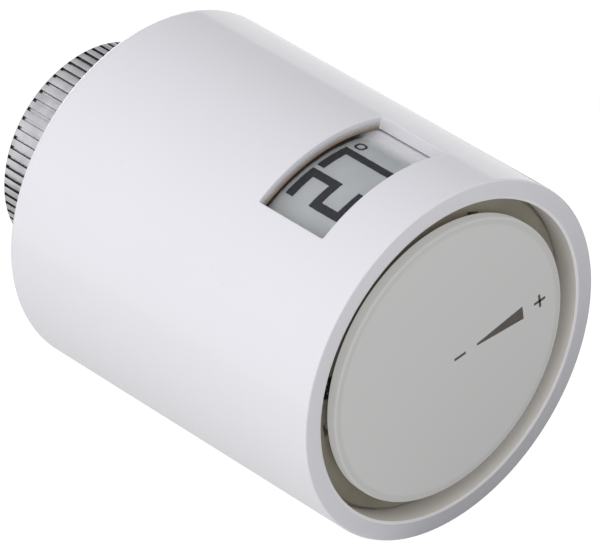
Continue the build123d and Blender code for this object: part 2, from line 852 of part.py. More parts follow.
tip_insert_depth = 0.8
tip_insert_radius = plunger_radius - 1.0
with BuildPart() as plunger:
    with BuildSketch(level(tip_height)) as head:
        Circle(plunger_radius)
        Rectangle(2 * plunger_radius, 2 * (plunger_radius - plunger_flat), mode=Mode.INTERSECT)
    extrude(amount=plunger_length - end_float)
    disc(spindle_radius, guide_top - end_float, cover_to + stroke + 0.5)
    disc(tip_insert_radius + touch, tip_height, tip_height + tip_insert_depth, mode=Mode.SUBTRACT)
finish(plunger.part, "plunger")

with BuildPart() as plunger_tip:
    disc(tip_insert_radius, tip_height, tip_height + tip_insert_depth)
finish(plunger_tip.part, "plunger_tip")

axle_skin = 0.4  # plastic left outside each end of an axle
with BuildPart() as gear_axles:
    for centre in (gear_one_at, gear_two_at):
        disc(axle_radius, case_from + axle_skin, cover_to - axle_skin, centre)
finish(gear_axles.part, "gear_axles")


def case_outline(extra, start, end, mode=Mode.ADD):
    """Adds or cuts the shape of the gear case, grown by extra all round."""
    for middle, radius in case_circles:
        disc(radius + extra, start, end, middle, mode=mode)


with BuildPart() as gearbox_base:
    case_outline(gearbox_wall, case_from, cover_from)
    for centre in lug_at:
        disc(lug_radius, case_from, cover_from, centre)
    case_outline(0, plate_inside, cover_from, mode=Mode.SUBTRACT)
    disc(dome_radius + touch, case_from, plate_inside, mode=Mode.SUBTRACT)
    for centre in (gear_one_at, gear_two_at):
        disc(axle_radius, case_from + axle_skin, plate_inside, centre, mode=Mode.SUBTRACT)
    for centre in lug_at:
        disc(screw_radius, cover_from - 5.0, cover_from, centre, mode=Mode.SUBTRACT)
    # the lower wall makes way for the cells
    for side in side_signs:
        disc(bay_radius, case_from, cover_from, (side * cell_x, cell_z), mode=Mode.SUBTRACT)
finish(gearbox_base.part, "gearbox_base")

with BuildPart() as gearbox_cover:
    case_outline(gearbox_wall, cover_from, cover_to)
    for centre in lug_at:
        disc(lug_radius, cover_from, cover_to, centre)
    disc(spindle_radius + gap, cover_from, cover_to, mode=Mode.SUBTRACT)
    disc(motor_shaft_radius + gap, cover_from, cover_to, motor_at, mode=Mode.SUBTRACT)
    for centre in (gear_one_at, gear_two_at):
        disc(axle_radius, cover_from, cover_to - axle_skin, centre, mode=Mode.SUBTRACT)
    for centre in lug_at:
        disc(screw_hole, cover_from, cover_to, centre, mode=Mode.SUBTRACT)
        disc(screw_sink, cover_to - screw_head_height, cover_to, centre, mode=Mode.SUBTRACT)
    for side in side_signs:
        disc(bay_radius, cover_from, cover_to, (side * cell_x, cell_z), mode=Mode.SUBTRACT)
finish(gearbox_cover.part, "gearbox_cover")

with BuildPart() as gearbox_screws:
    for centre in lug_at:
        screw(centre, cover_to, 4.0)
finish(gearbox_screws.part, "gearbox_screws")

can_wall = 0.5
armature_radius = motor_radius - 1.4
with BuildPart() as motor_can:
    disc(motor_radius, motor_back, motor_front, motor_at)
    chamfer(motor_can.edges().filter_by(GeomType.CIRCLE).group_by(Axis.Y)[-1], length=0.4)
    disc(motor_radius - can_wall, motor_back + can_wall, motor_front, motor_at, mode=Mode.SUBTRACT)
    disc(motor_shaft_radius + running, motor_back, motor_back + can_wall, motor_at, mode=Mode.SUBTRACT)
finish(motor_can.part, "motor_can")

armature_from = motor_back + 3.0
armature_to = motor_front - 3.5
with BuildPart() as motor_armature:
    disc(armature_radius, armature_from, armature_to, motor_at)
    with BuildSketch(level(armature_from, motor_at)) as armature_slots:
        with PolarLocations(armature_radius - 0.8, 3, start_angle=30):
            Rectangle(2.4, 1.4)
    extrude(amount=armature_to - armature_from, mode=Mode.SUBTRACT)
    disc(motor_shaft_radius, armature_from, armature_to, motor_at, mode=Mode.SUBTRACT)
finish(motor_armature.part, "motor_armature")

with BuildPart() as motor_shaft:
    disc(motor_shaft_radius, layer_three[0], motor_front + 0.6, motor_at)
finish(motor_shaft.part, "motor_shaft")

end_cap_sunk = 1.2  # how far the end cap reaches into the can
terminal_from = motor_front + end_cap_height - 1.0
with BuildPart() as motor_end_cap:
    disc(motor_radius - can_wall - touch, motor_front - end_cap_sunk, motor_front, motor_at)
    disc(motor_radius - can_wall, motor_front, terminal_from, motor_at)
    disc(3.0, motor_front, motor_front + end_cap_height, motor_at)
    bearing = motor_shaft_radius + running
    disc(bearing, motor_front - end_cap_sunk, terminal_from, motor_at, mode=Mode.SUBTRACT)
finish(motor_end_cap.part, "motor_end_cap")

with BuildPart() as motor_terminals:
    for side in side_signs:
        centre = (motor_at[0] + side * 4.0, motor_at[1])
        slab(0.4, 1.6, terminal_from, motor_front + end_cap_height + terminal_height, centre)
finish(motor_terminals.part, "motor_terminals")

with BuildPart() as motor_damper:
    tube(
        motor_radius + damper_wall,
        motor_radius + touch,
        cradle_from - 0.4,
        cradle_from - 0.4 + damper_length,
        motor_at,
    )
finish(motor_damper.part, "motor_damper")

# ==================================================================================================
# Main board, display and sensors
# ==================================================================================================
board_length = board_to - board_from
board_middle = (board_from + board_to) / 2
board_plane = Plane(origin=(0, -board_middle, board_z), z_dir=(0, 0, 1))
parts_plane = Plane(origin=(0, -board_middle, board_top), z_dir=(0, 0, 1))

with BuildPart() as main_board:
    with BuildSketch(board_plane) as board_outline:
        RectangleRounded(board_width, board_length, 1.0)
        for x, height in board_screw_at:
            with Locations((x, board_middle - height)):
                Circle(screw_hole, mode=Mode.SUBTRACT)
    extrude(amount=board_thickness)
finish(main_board.part, "main_board")


def on_board(height, x=0.0):
    """Returns the board sketch position of a height and a sideways place."""
    return (x, board_middle - height)


radio_height = board_from + 18.5
with BuildPart() as radio_module:
    with BuildSketch(parts_plane) as shield:
        with Locations(on_board(radio_height, -4.4)):
            RectangleRounded(11.0, 13.0, 0.5)
    extrude(amount=1.7)
finish(radio_module.part, "radio_module")

# width, depth, height, then the place across and along the board
ribbon_width = 9.0
connector_depth = 3.0
ribbon_from = display_from - 2.4
chip_places = [
    (6.0, 6.0, 0.9, 7.0, radio_height + 1.0),
    (5.0, 3.2, 1.1, 7.0, radio_height - 7.0),
    (3.0, 2.4, 1.0, -6.0, radio_height - 12.5),
    (3.2, 1.6, 0.8, 1.0, radio_height - 12.0),
    (ribbon_width + 1.0, connector_depth, 1.4, 0.0, ribbon_from - connector_depth / 2),
]
with BuildPart() as board_components:
    for width, depth, tall, x, height in chip_places:
        with BuildSketch(parts_plane) as package:
            with Locations(on_board(height, x)):
                Rectangle(width, depth)
        extrude(amount=tall)
    # two rows of small passive parts
    with BuildSketch(parts_plane) as passives:
        with Locations(on_board(radio_height - 9.0, -5.0)):
            with GridLocations(2.2, 2.0, 4, 2):
                Rectangle(1.0, 0.6)
        with Locations(on_board(radio_height + 13.5, 6.0)):
            with GridLocations(2.2, 2.0, 4, 2):
                Rectangle(1.0, 0.6)
    extrude(amount=0.5)
finish(board_components.part, "board_components")

with BuildPart() as hall_sensors:
    with BuildSketch(parts_plane) as hall_outline:
        for side in side_signs:
            with Locations(on_board(board_from + 1.6, side * 3.0)):
                Rectangle(2.9, 1.6)
    extrude(amount=1.0)
finish(hall_sensors.part, "hall_sensors")

with BuildPart() as temperature_sensor:
    slab(1.6, 0.9, board_to - 2.0, floor_height - 0.5, (0, board_top + 0.45))
    slab(2.2, 1.4, floor_height - 1.5, floor_height - 0.1, (0, board_top + 0.2))
finish(temperature_sensor.part, "temperature_sensor")

with BuildPart() as board_screws:
    for x, height in board_screw_at:
        head_plane = Plane(origin=(x, -height, board_top), z_dir=(0, 0, 1))
        with BuildSketch(head_plane) as screw_head:
            Circle(screw_head_radius - 0.1)
        extrude(amount=screw_head_height)
        with BuildSketch(head_plane) as screw_shank:
            Circle(screw_radius - touch)
        extrude(amount=-(board_thickness + boss_depth - 0.4))
        with BuildSketch(Plane(origin=(x, -height, board_top + 0.6), z_dir=(0, 0, 1))) as drive:
            Rectangle(2.0, 0.45)
            Rectangle(0.45, 2.0)
        extrude(amount=1.0, mode=Mode.SUBTRACT)
finish(board_screws.part, "board_screws")

with BuildPart() as window_lens:
    arc_wall(lens_radius, panel_radius, carrier_angle, display_from, display_to)
finish(window_lens.part, "window_lens")

with BuildPart() as display_panel:
    arc_wall(panel_radius, carrier_radius, window_angle + 4.0, display_from, display_to)
finish(display_panel.part, "display_panel")

carrier_back = carrier_radius - carrier_thickness
opening_step = 15.0
opening_length = 8.0
leg_width = 1.2
leg_x = board_width / 2 - leg_width / 2 - 0.1
leg_top = (carrier_radius + carrier_back) / 2 * cos(asin(leg_x / carrier_radius))
leg_height = leg_top - board_top
with BuildPart() as display_carrier:
    arc_wall(carrier_radius, carrier_back, carrier_angle, display_from, display_to)
    for side in side_signs:
        leg_at = (side * leg_x, board_top + leg_height / 2)
        slab(leg_width, leg_height, display_from, display_to, leg_at)
    # three openings behind the panel
    for angle in (-opening_step, 0.0, opening_step):
        slab(
            4.0,
            6.0,
            window_centre - opening_length / 2,
            window_centre + opening_length / 2,
            from_top(carrier_radius, angle),
            -angle,
            mode=Mode.SUBTRACT,
        )
finish(display_carrier.part, "display_carrier")

ribbon = 0.2
ribbon_bend = 0.8
ribbon_top = carrier_radius - 0.3
with BuildPart() as display_ribbon:
    with BuildSketch(Plane(origin=(-ribbon_width / 2, 0, 0), x_dir=(0, -1, 0), z_dir=(1, 0, 0))):
        with BuildLine():
            Polyline(
                (display_from, -ribbon_top),
                (ribbon_from + ribbon_bend, -ribbon_top),
                (ribbon_from, -ribbon_top + ribbon_bend),
                (ribbon_from, -board_top - touch),
                (ribbon_from + ribbon, -board_top - touch),
                (ribbon_from + ribbon, -ribbon_top + ribbon_bend + ribbon / 2),
                (ribbon_from + ribbon_bend + ribbon / 2, -ribbon_top + ribbon),
                (display_from, -ribbon_top + ribbon),
                close=True,
            )
        make_face()
    extrude(amount=ribbon_width)
finish(display_ribbon.part, "display_ribbon")
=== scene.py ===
"""Looks of a thermostatic radiator valve head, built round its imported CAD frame.

The head lies along Y. Its setting face looks along -Y, its union nut along +Y and its display is on
top. A height is counted from the mouth of the nut towards the setting face, so a height h lies at
y = -h, and an angle is counted from the top towards +X. Pieces are shaped in millimetres and scaled
to metres when they are finished.
"""

import logging
import math
from collections.abc import Callable, Sequence
from dataclasses import dataclass
from enum import Enum

import bmesh
import bpy
from mathutils import Matrix, Vector


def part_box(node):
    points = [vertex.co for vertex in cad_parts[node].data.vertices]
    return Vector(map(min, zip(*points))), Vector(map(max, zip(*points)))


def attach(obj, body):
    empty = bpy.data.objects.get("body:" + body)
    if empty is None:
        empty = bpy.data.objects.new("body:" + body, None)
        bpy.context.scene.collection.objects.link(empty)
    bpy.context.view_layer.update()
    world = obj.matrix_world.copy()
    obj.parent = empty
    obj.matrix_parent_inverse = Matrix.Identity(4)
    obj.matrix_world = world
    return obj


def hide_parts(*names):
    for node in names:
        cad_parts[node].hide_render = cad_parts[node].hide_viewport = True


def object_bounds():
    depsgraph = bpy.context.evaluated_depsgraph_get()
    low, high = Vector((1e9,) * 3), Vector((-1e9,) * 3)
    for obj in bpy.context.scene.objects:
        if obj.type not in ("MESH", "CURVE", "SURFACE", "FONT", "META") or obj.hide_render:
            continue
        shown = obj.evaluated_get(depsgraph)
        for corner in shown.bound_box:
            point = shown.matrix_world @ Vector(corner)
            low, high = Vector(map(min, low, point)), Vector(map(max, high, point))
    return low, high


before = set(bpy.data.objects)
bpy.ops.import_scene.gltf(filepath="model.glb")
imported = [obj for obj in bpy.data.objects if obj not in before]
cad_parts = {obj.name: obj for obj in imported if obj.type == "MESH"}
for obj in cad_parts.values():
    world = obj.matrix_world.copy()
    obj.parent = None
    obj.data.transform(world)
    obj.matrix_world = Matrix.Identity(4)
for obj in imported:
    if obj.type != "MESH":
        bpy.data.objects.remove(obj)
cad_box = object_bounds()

MM = 0.001
FINE = 240  # divisions of a full turn on the large round pieces
ROUND = 48  # divisions of a full turn on the small ones
WIRE_SIDES = 10  # sides of a wire's section
COIL_STEPS = 30  # divisions of one turn of a coil
THREAD_STEPS = 96  # divisions of one turn of the thread
CREASE = math.radians(40.0)  # faces that meet more sharply keep a crisp edge

INK_EDGE = "ink_edge"  # attribute that tells how far a point lies inside its ink

Point = tuple[float, float]
Triple = tuple[float, float, float]
Bar = tuple[float, float, float, float]
Socket = bpy.types.NodeSocket
Verts = list[bmesh.types.BMVert]
log = logging.getLogger("valve_head")


class Body(Enum):
    """The bodies of the frame that pieces ride on."""

    ROOT = "root"
    SLEEVE = "sleeve"
    NUT = "union_nut"


@dataclass(frozen=True)
class Span:
    """The room a CAD node takes up: its middle and half widths across the axis, and its heights."""

    x: float
    z: float
    half_x: float
    half_z: float
    start: float
    end: float

    @classmethod
    def of(cls, node: str) -> "Span":
        """Reads the box of a CAD node at rest.

        Args:
            node: Name of the CAD node.

        Returns:
            The node's span in millimetres.
        """
        low, high = (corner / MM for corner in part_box(node))
        middle, half = (low + high) / 2, (high - low) / 2
        return cls(middle.x, middle.z, half.x, half.z, -high.y, -low.y)

    @property
    def radius(self) -> float:
        """Half the larger width."""
        return max(self.half_x, self.half_z)

    @property
    def centre(self) -> Point:
        """The middle across the axis."""
        return (self.x, self.z)


# ---- finishes ------------------------------------------------------------------------------------
class Recipe:
    """Builds the nodes of one material round its Principled shader, with lengths in millimetres."""

    def __init__(self, name: str) -> None:
        """Starts a material.

        Args:
            name: Name of the material.
        """
        self.material = bpy.data.materials.new(name)
        self.material.use_nodes = True
        self.nodes = self.material.node_tree.nodes
        self.links = self.material.node_tree.links
        self.shader = self.nodes["Principled BSDF"]

    def add(self, kind: str, *feeds: Socket | float, **settings: object) -> bpy.types.Node:
        """Adds a node.

        Args:
            kind: Blender's name of the node type.
            *feeds: What its first inputs take, in order: sockets to link, or levels.
            **settings: Properties to set on the node.

        Returns:
            The new node.
        """
        node = self.nodes.new(kind)
        for name, value in settings.items():
            setattr(node, name, value)
        for socket, feed in zip(node.inputs, feeds):
            if isinstance(feed, bpy.types.NodeSocket):
                self.links.new(feed, socket)
            else:
                socket.default_value = feed
        return node

    def put(self, **levels: object) -> None:
        """Sets sockets of the shader, named with underscores for spaces."""
        for name, value in levels.items():
            self.shader.inputs[name.replace("_", " ")].default_value = value

    def feed(self, value: Socket, socket: str) -> None:
        """Links a value to a socket of the shader."""
        self.links.new(value, self.shader.inputs[socket])

    def place(self, stretch: Triple = (1.0, 1.0, 1.0)) -> Socket:
        """Gives object coordinates in millimetres.

        Args:
            stretch: Factor on each axis; a small one draws a pattern out along that axis.

        Returns:
            The coordinates.
        """
        where = self.add("ShaderNodeTexCoord")
        mapping = self.add("ShaderNodeMapping", where.outputs["Object"])
        mapping.inputs["Scale"].default_value = [factor / MM for factor in stretch]
        return mapping.outputs["Vector"]

    def from_axis(self) -> Socket:
        """Gives the distance from the head's axis."""
        across = self.place((1.0, 0.0, 1.0))
        return self.add("ShaderNodeVectorMath", across, operation="LENGTH").outputs["Value"]

    def noise(self, size: float, detail: float = 2.0, stretch: Triple = (1.0, 1.0, 1.0)) -> Socket:
        """Adds a noise.

        Args:
            size: Size of its largest features.
            detail: Number of finer layers.
            stretch: Factor on each axis.

        Returns:
            The noise, from 0 to 1.
        """
        noise = self.add("ShaderNodeTexNoise", self.place(stretch))
        noise.inputs["Scale"].default_value = 1.0 / size
        noise.inputs["Detail"].default_value = detail
        return noise.outputs["Fac"]

    def ramp(self, value: Socket, *stops: tuple[float, Triple]) -> Socket:
        """Turns a value into colours.

        Args:
            value: The value, from 0 to 1.
            *stops: Positions with their colours, in rising order.

        Returns:
            The colour.
        """
        ramp = self.add("ShaderNodeValToRGB", value)
        elements = ramp.color_ramp.elements
        elements[0].position, elements[1].position = stops[0][0], stops[-1][0]
        elements[0].color, elements[1].color = (*stops[0][1], 1.0), (*stops[-1][1], 1.0)
        for position, colour in stops[1:-1]:
            elements.new(position).color = (*colour, 1.0)
        return ramp.outputs["Color"]

    def mottled(self, colour: Triple, reach: float, size: float, detail: float = 3.0) -> Socket:
        """Varies a colour slowly.

        Args:
            colour: The colour.
            reach: Share that it is made lighter and darker by.
            size: Size of the patches.
            detail: Number of finer layers.

        Returns:
            The varied colour.
        """
        low, high = shade(colour, 1.0 - reach), shade(colour, 1.0 + reach)
        return self.ramp(self.noise(size, detail), (0.3, low), (0.7, high))

    def scaled(
        self, value: Socket, low: float, high: float, first: float = 0.0, last: float = 1.0
    ) -> Socket:
        """Maps a value from one range to another.

        Args:
            value: The value.
            low: Result at the first value.
            high: Result at the last value.
            first: Start of the value's range.
            last: End of the value's range.

        Returns:
            The mapped value.
        """
        return self.add("ShaderNodeMapRange", value, first, last, low, high).outputs["Result"]

    def ragged(self, value: Socket, size: float, reach: float) -> Socket:
        """Frays a value by a fine noise.

        Args:
            value: The value.
            size: Size of the noise.
            reach: How far it moves the value either way.

        Returns:
            The frayed value.
        """
        fray = self.scaled(self.noise(size, 3.0), -reach, reach)
        return self.add("ShaderNodeMath", value, fray, operation="ADD").outputs[0]

    def blend(self, share: Socket, under: Socket, over: Triple) -> Socket:
        """Lays a colour over another.

        Args:
            share: Share of the upper colour.
            under: The lower colour.
            over: The upper colour.

        Returns:
            The mix.
        """
        mix = self.add("ShaderNodeMix", data_type="RGBA")
        mix.inputs["B"].default_value = (*over, 1.0)
        self.links.new(share, mix.inputs["Factor"])
        self.links.new(under, mix.inputs["A"])
        return mix.outputs["Result"]

    def bump(self, value: Socket, height: float) -> None:
        """Raises the surface by a pattern.

        Args:
            value: The pattern, from 0 to 1.
            height: Height of the pattern.
        """
        bump = self.add("ShaderNodeBump")
        bump.inputs["Distance"].default_value = height * MM
        self.links.new(value, bump.inputs["Height"])
        self.feed(bump.outputs["Normal"], "Normal")


def shade(colour: Triple, factor: float) -> Triple:
    """Returns a colour made lighter or darker by a factor."""
    return tuple(min(1.0, level * factor) for level in colour)


@dataclass(frozen=True)
class Plastic:
    """Moulded plastic: a slow change of tone, a fine grain and, where wanted, tiny dust specks."""

    name: str
    colour: Triple
    roughness: float = 0.4
    grain: float = 0.3
    grain_height: float = 0.004
    tone: float = 0.02
    tone_size: float = 16.0
    specks: float = 0.0
    speck_spacing: float = 2.6
    sheen_coat: float = 0.0

    def build(self) -> bpy.types.Material:
        """Makes the material."""
        recipe = Recipe(self.name)
        recipe.put(Coat_Weight=self.sheen_coat, Coat_Roughness=0.08)
        tone = recipe.mottled(self.colour, self.tone, self.tone_size)
        if self.specks:
            dust = recipe.add("ShaderNodeTexVoronoi", recipe.place())
            dust.inputs["Scale"].default_value = 1.0 / self.speck_spacing
            speck = recipe.scaled(dust.outputs["Distance"], self.specks, 0.0, 0.02, 0.055)
            tone = recipe.blend(speck, tone, shade(self.colour, 0.62))
        recipe.feed(tone, "Base Color")
        spread = recipe.scaled(recipe.noise(5.0, 4.0), self.roughness * 0.92, self.roughness * 1.08)
        recipe.feed(spread, "Roughness")
        recipe.bump(recipe.noise(self.grain), self.grain_height)
        return recipe.material


@dataclass(frozen=True)
class Metal:
    """Metal with fine tool or brush marks along one direction."""

    name: str
    colour: Triple
    roughness: float = 0.3
    marks: float = 0.25
    marks_height: float = 0.004
    stretch: Triple = (1.0, 1.0, 1.0)
    tone: float = 0.08

    def build(self) -> bpy.types.Material:
        """Makes the material."""
        recipe = Recipe(self.name)
        recipe.put(Metallic=1.0)
        grain = recipe.noise(self.marks, 4.0, self.stretch)
        spread = recipe.scaled(grain, self.roughness * 0.7, self.roughness * 1.35, 0.25, 0.75)
        recipe.feed(recipe.mottled(self.colour, self.tone, 3.0, 4.0), "Base Color")
        recipe.feed(spread, "Roughness")
        recipe.bump(grain, self.marks_height)
        return recipe.material


@dataclass(frozen=True)
class ShadedWindowWall:
    """Shell plastic of the window's walls with painted shade: a frayed tan brown that darkens them towards
    their foot.
    """

    name: str
    shell: Triple
    foot_shade: Triple
    shade_to: float
    unshaded_from: float

    def build(self) -> bpy.types.Material:
        """Makes the material."""
        recipe = Recipe(self.name)
        recipe.put(Roughness=0.4)
        reach = recipe.ragged(recipe.from_axis(), 0.4, 0.3)
        # painted shade: the shell colour at the top of the wall turns to tan brown at its foot
        height = recipe.scaled(reach, 0.0, 1.0, self.shade_to, self.unshaded_from)
        recipe.feed(recipe.ramp(height, (0.0, self.foot_shade), (1.0, self.shell)), "Base Color")
        recipe.bump(recipe.noise(0.5), 0.004)
        return recipe.material


@dataclass(frozen=True)
class LiquidCrystal:
    """Grey liquid crystal panel with a dark brown band of painted shade along its rear edge, for the shadow
    in the gap under the window's back wall.
    """

    name: str
    ground: Triple
    gap_shade: Triple
    gap_shade_to: float
    soft: float = 0.12

    def build(self) -> bpy.types.Material:
        """Makes the material."""
        recipe = Recipe(self.name)
        recipe.put(Roughness=0.5, Specular_IOR_Level=0.15)
        # painted shade: a frayed dark brown band along the panel's rear edge
        apart = recipe.add("ShaderNodeSeparateXYZ", recipe.place())
        along = recipe.ragged(apart.outputs["Y"], 0.25, 0.2)
        share = recipe.scaled(along, 0.0, 1.0, -self.gap_shade_to - self.soft, -self.gap_shade_to + self.soft)
        tone = recipe.mottled(self.ground, 0.05, 4.0)
        recipe.feed(recipe.blend(share, tone, self.gap_shade), "Base Color")
        return recipe.material


@dataclass(frozen=True)
class FrostedLens:
    """Clear plastic with a faint haze that whitens where the surface turns away from the eye."""

    name: str
    haze: Triple
    least: float = 0.02
    most: float = 0.95
    haze_from: float = 0.54
    haze_to: float = 0.64

    def build(self) -> bpy.types.Material:
        """Makes the material."""
        recipe = Recipe(self.name)
        recipe.put(Base_Color=(*self.haze, 1.0), IOR=1.3)
        turned = recipe.add("ShaderNodeLayerWeight", 0.5).outputs["Facing"]
        haze = recipe.scaled(turned, self.least, self.most, self.haze_from, self.haze_to)
        clouds = recipe.scaled(recipe.noise(0.25, 3.0), 0.8, 1.2)
        recipe.feed(recipe.add("ShaderNodeMath", haze, clouds, operation="MULTIPLY").outputs[0], "Alpha")
        recipe.feed(recipe.scaled(recipe.noise(0.4), 0.16, 0.26), "Roughness")
        return recipe.material


@dataclass(frozen=True)
class SegmentInk:
    """Dark display segments whose edges fade and fray a little under the frosted lens."""

    name: str
    colour: Triple
    strength: float = 1.0

    def build(self) -> bpy.types.Material:
        """Makes the material."""
        recipe = Recipe(self.name)
        recipe.put(Roughness=0.6, Specular_IOR_Level=0.1)
        inside = recipe.add("ShaderNodeAttribute", attribute_name=INK_EDGE).outputs["Fac"]
        frayed = recipe.ragged(inside, 0.28, 0.5)
        recipe.feed(recipe.scaled(frayed, 0.0, self.strength, 0.1, 0.75), "Alpha")
        low, high = shade(self.colour, 0.75), shade(self.colour, 1.5)
        recipe.feed(recipe.ramp(recipe.noise(0.3, 3.0), (0.35, low), (0.7, high)), "Base Color")
        return recipe.material


@dataclass(frozen=True)
class Board:
    """Green solder mask over copper tracks that run along and across the board."""

    name: str
    mask: Triple
    track: Triple
    track_spacing: float = 2.4

    def build(self) -> bpy.types.Material:
        """Makes the material."""
        recipe = Recipe(self.name)
        recipe.put(Roughness=0.32, Coat_Weight=0.4, Coat_Roughness=0.15)
        tracks = recipe.add("ShaderNodeTexVoronoi", distance="CHEBYCHEV", feature="DISTANCE_TO_EDGE")
        tracks.inputs["Scale"].default_value = 1.0 / self.track_spacing
        recipe.links.new(recipe.place(), tracks.inputs["Vector"])
        stops = ((0.0, self.track), (0.06, self.track), (0.09, self.mask))
        recipe.feed(recipe.ramp(tracks.outputs["Distance"], *stops), "Base Color")
        recipe.bump(recipe.noise(0.5), 0.004)
        return recipe.material


@dataclass(frozen=True)
class ClearDisc:
    """Frosted clear cover over grey paint.

    Past the paint it shows a darker band and then a rounded edge. The light that it carries inside
    evens out its tone; here that is painted as a glow, the disc giving off its own tone as light.
    """

    name: str
    face: Triple
    band: Triple
    edge: Triple
    painted_to: float
    band_from: float
    edge_from: float
    glow: float

    def build(self) -> bpy.types.Material:
        """Makes the material."""
        recipe = Recipe(self.name)
        # painted glow: the disc gives off its own tone as light
        recipe.put(Coat_Weight=0.15, Coat_Roughness=0.25, Emission_Strength=self.glow)
        reach = recipe.scaled(recipe.from_axis(), 0.0, 1.0, self.painted_to, self.edge_from)
        band = (self.band_from - self.painted_to) / (self.edge_from - self.painted_to)
        tone = recipe.ramp(reach, (0.0, self.face), (band, self.band), (0.85, self.band), (1.0, self.edge))
        recipe.feed(tone, "Base Color")
        recipe.feed(tone, "Emission Color")
        recipe.feed(recipe.scaled(recipe.noise(2.0, 4.0), 0.3, 0.42), "Roughness")
        recipe.bump(recipe.noise(0.3), 0.003)
        return recipe.material


SHELL = Plastic(
    "white_shell", (0.72, 0.717, 0.745), 0.35, grain=0.5, grain_height=0.002, tone=0.006, tone_size=22.0,
    specks=0.35, sheen_coat=0.5,
)
# painted highlight: a lighter white for the bevel round the recess mouth, so that it shows as a bright line
SHELL_HIGHLIGHT = Plastic("white_shell_painted_highlight", (0.86, 0.86, 0.87), 0.3, tone=0.01, sheen_coat=0.5)
SHELL_INSIDE = Plastic("white_shell_inside", (0.74, 0.71, 0.66), 0.45, tone=0.02)
# painted shade on the window walls, tan brown towards their foot
SHADED_WINDOW_WALL = ShadedWindowWall("window_wall_painted_shade", SHELL.colour, (0.30, 0.23, 0.17), 27.3, 28.5)
LENS = FrostedLens("frosted_lens", (0.80, 0.80, 0.82))
# the panel's dark brown rear band is painted shade
PANEL = LiquidCrystal("liquid_crystal_with_gap_shade", (0.44, 0.46, 0.46), (0.06, 0.04, 0.028), 56.1)
INK = SegmentInk("segment_ink", (0.012, 0.012, 0.02))
FAINT_INK = SegmentInk("faint_segment_ink", (0.02, 0.02, 0.03), 0.95)
# glow: painted light that evens out the disc's face
DISC = ClearDisc(
    "clear_disc", face=(0.20, 0.20, 0.198), band=(0.184, 0.184, 0.18), edge=(0.192, 0.192, 0.188),
    painted_to=21.6, band_from=21.9, edge_from=22.87, glow=1.62,
)
DISC_BACK = Plastic("disc_back_grey", (0.30, 0.30, 0.29), 0.5)
PRINT = Plastic("warm_grey_print", (0.13, 0.115, 0.10), 0.5, tone=0.1, tone_size=1.0)
OLIVE = Plastic(
    "olive_floor", (0.33, 0.30, 0.235), 0.5, grain=0.25, grain_height=0.01, tone=0.08, tone_size=6.0
)
# painted shade: dark nickel for the walls of the nut's grooves
NICKEL_SHADE = Metal("nickel_groove_painted_shade", (0.07, 0.07, 0.075), 0.5, 0.15, 0.01)
NICKEL = Metal("nickel_plate", (0.53, 0.53, 0.54), 0.3, 0.22, 0.03, (1.0, 0.4, 1.0), 0.16)
STEEL = Metal("bright_steel", (0.56, 0.55, 0.53), 0.25, 0.3, 0.003)
SPRING = Metal("spring_steel", (0.44, 0.43, 0.41), 0.22, 0.15, 0.002)
BLACK_NYLON = Plastic(
    "glass_filled_nylon", (0.035, 0.036, 0.038), 0.48, grain=0.35, grain_height=0.02, tone=0.15
)
NATURAL_NYLON = Plastic(
    "natural_nylon", (0.62, 0.60, 0.54), 0.42, grain=0.4, grain_height=0.01, tone=0.03
)
ACETAL = Plastic("white_acetal", (0.74, 0.73, 0.69), 0.32, tone=0.02, tone_size=5.0)
WRAP = Plastic(
    "cell_wrap", (0.055, 0.065, 0.075), 0.22, grain=1.2, grain_height=0.01, tone=0.1, sheen_coat=0.6
)
WRAP_BAND = Plastic(
    "cell_wrap_band", (0.50, 0.27, 0.12), 0.24, grain=1.2, grain_height=0.01, tone=0.06, sheen_coat=0.6
)
CONTACT = Metal("contact_nickel", (0.66, 0.64, 0.59), 0.24, 0.3, 0.002)
MASK = Board("solder_mask", (0.012, 0.085, 0.035), (0.03, 0.17, 0.07))
CHIP = Plastic(
    "chip_black", (0.018, 0.018, 0.02), 0.5, grain=0.12, grain_height=0.006, tone=0.2, tone_size=1.0
)
CERAMIC = Plastic("ceramic_tan", (0.33, 0.24, 0.15), 0.45, tone=0.1, tone_size=1.0)
TIN = Metal("tin_plate", (0.62, 0.62, 0.60), 0.28, 0.5, 0.004)
AMBER = Plastic("ribbon_amber", (0.36, 0.15, 0.03), 0.3, tone=0.1, tone_size=2.0, sheen_coat=0.5)
MOTOR_STEEL = Metal("motor_steel", (0.50, 0.50, 0.49), 0.26, 0.3, 0.004, (1.0, 0.2, 1.0))
BRASS = Metal("turned_brass", (0.75, 0.55, 0.25), 0.25, 0.2, 0.003)
RUBBER = Plastic("damper_rubber", (0.02, 0.02, 0.02), 0.75, grain=0.3, grain_height=0.02, tone=0.2)
MAGNET = Metal("magnet_nickel", (0.48, 0.48, 0.50), 0.2, 0.4, 0.002)

Finish = Plastic | ShadedWindowWall | LiquidCrystal | Metal | FrostedLens | SegmentInk | Board | ClearDisc
shelf: dict[Finish, bpy.types.Material] = {}


def material_of(finish: Finish) -> bpy.types.Material:
    """Returns a finish's material, made once and shared by every piece that has it."""
    if finish not in shelf:
        shelf[finish] = finish.build()
    return shelf[finish]


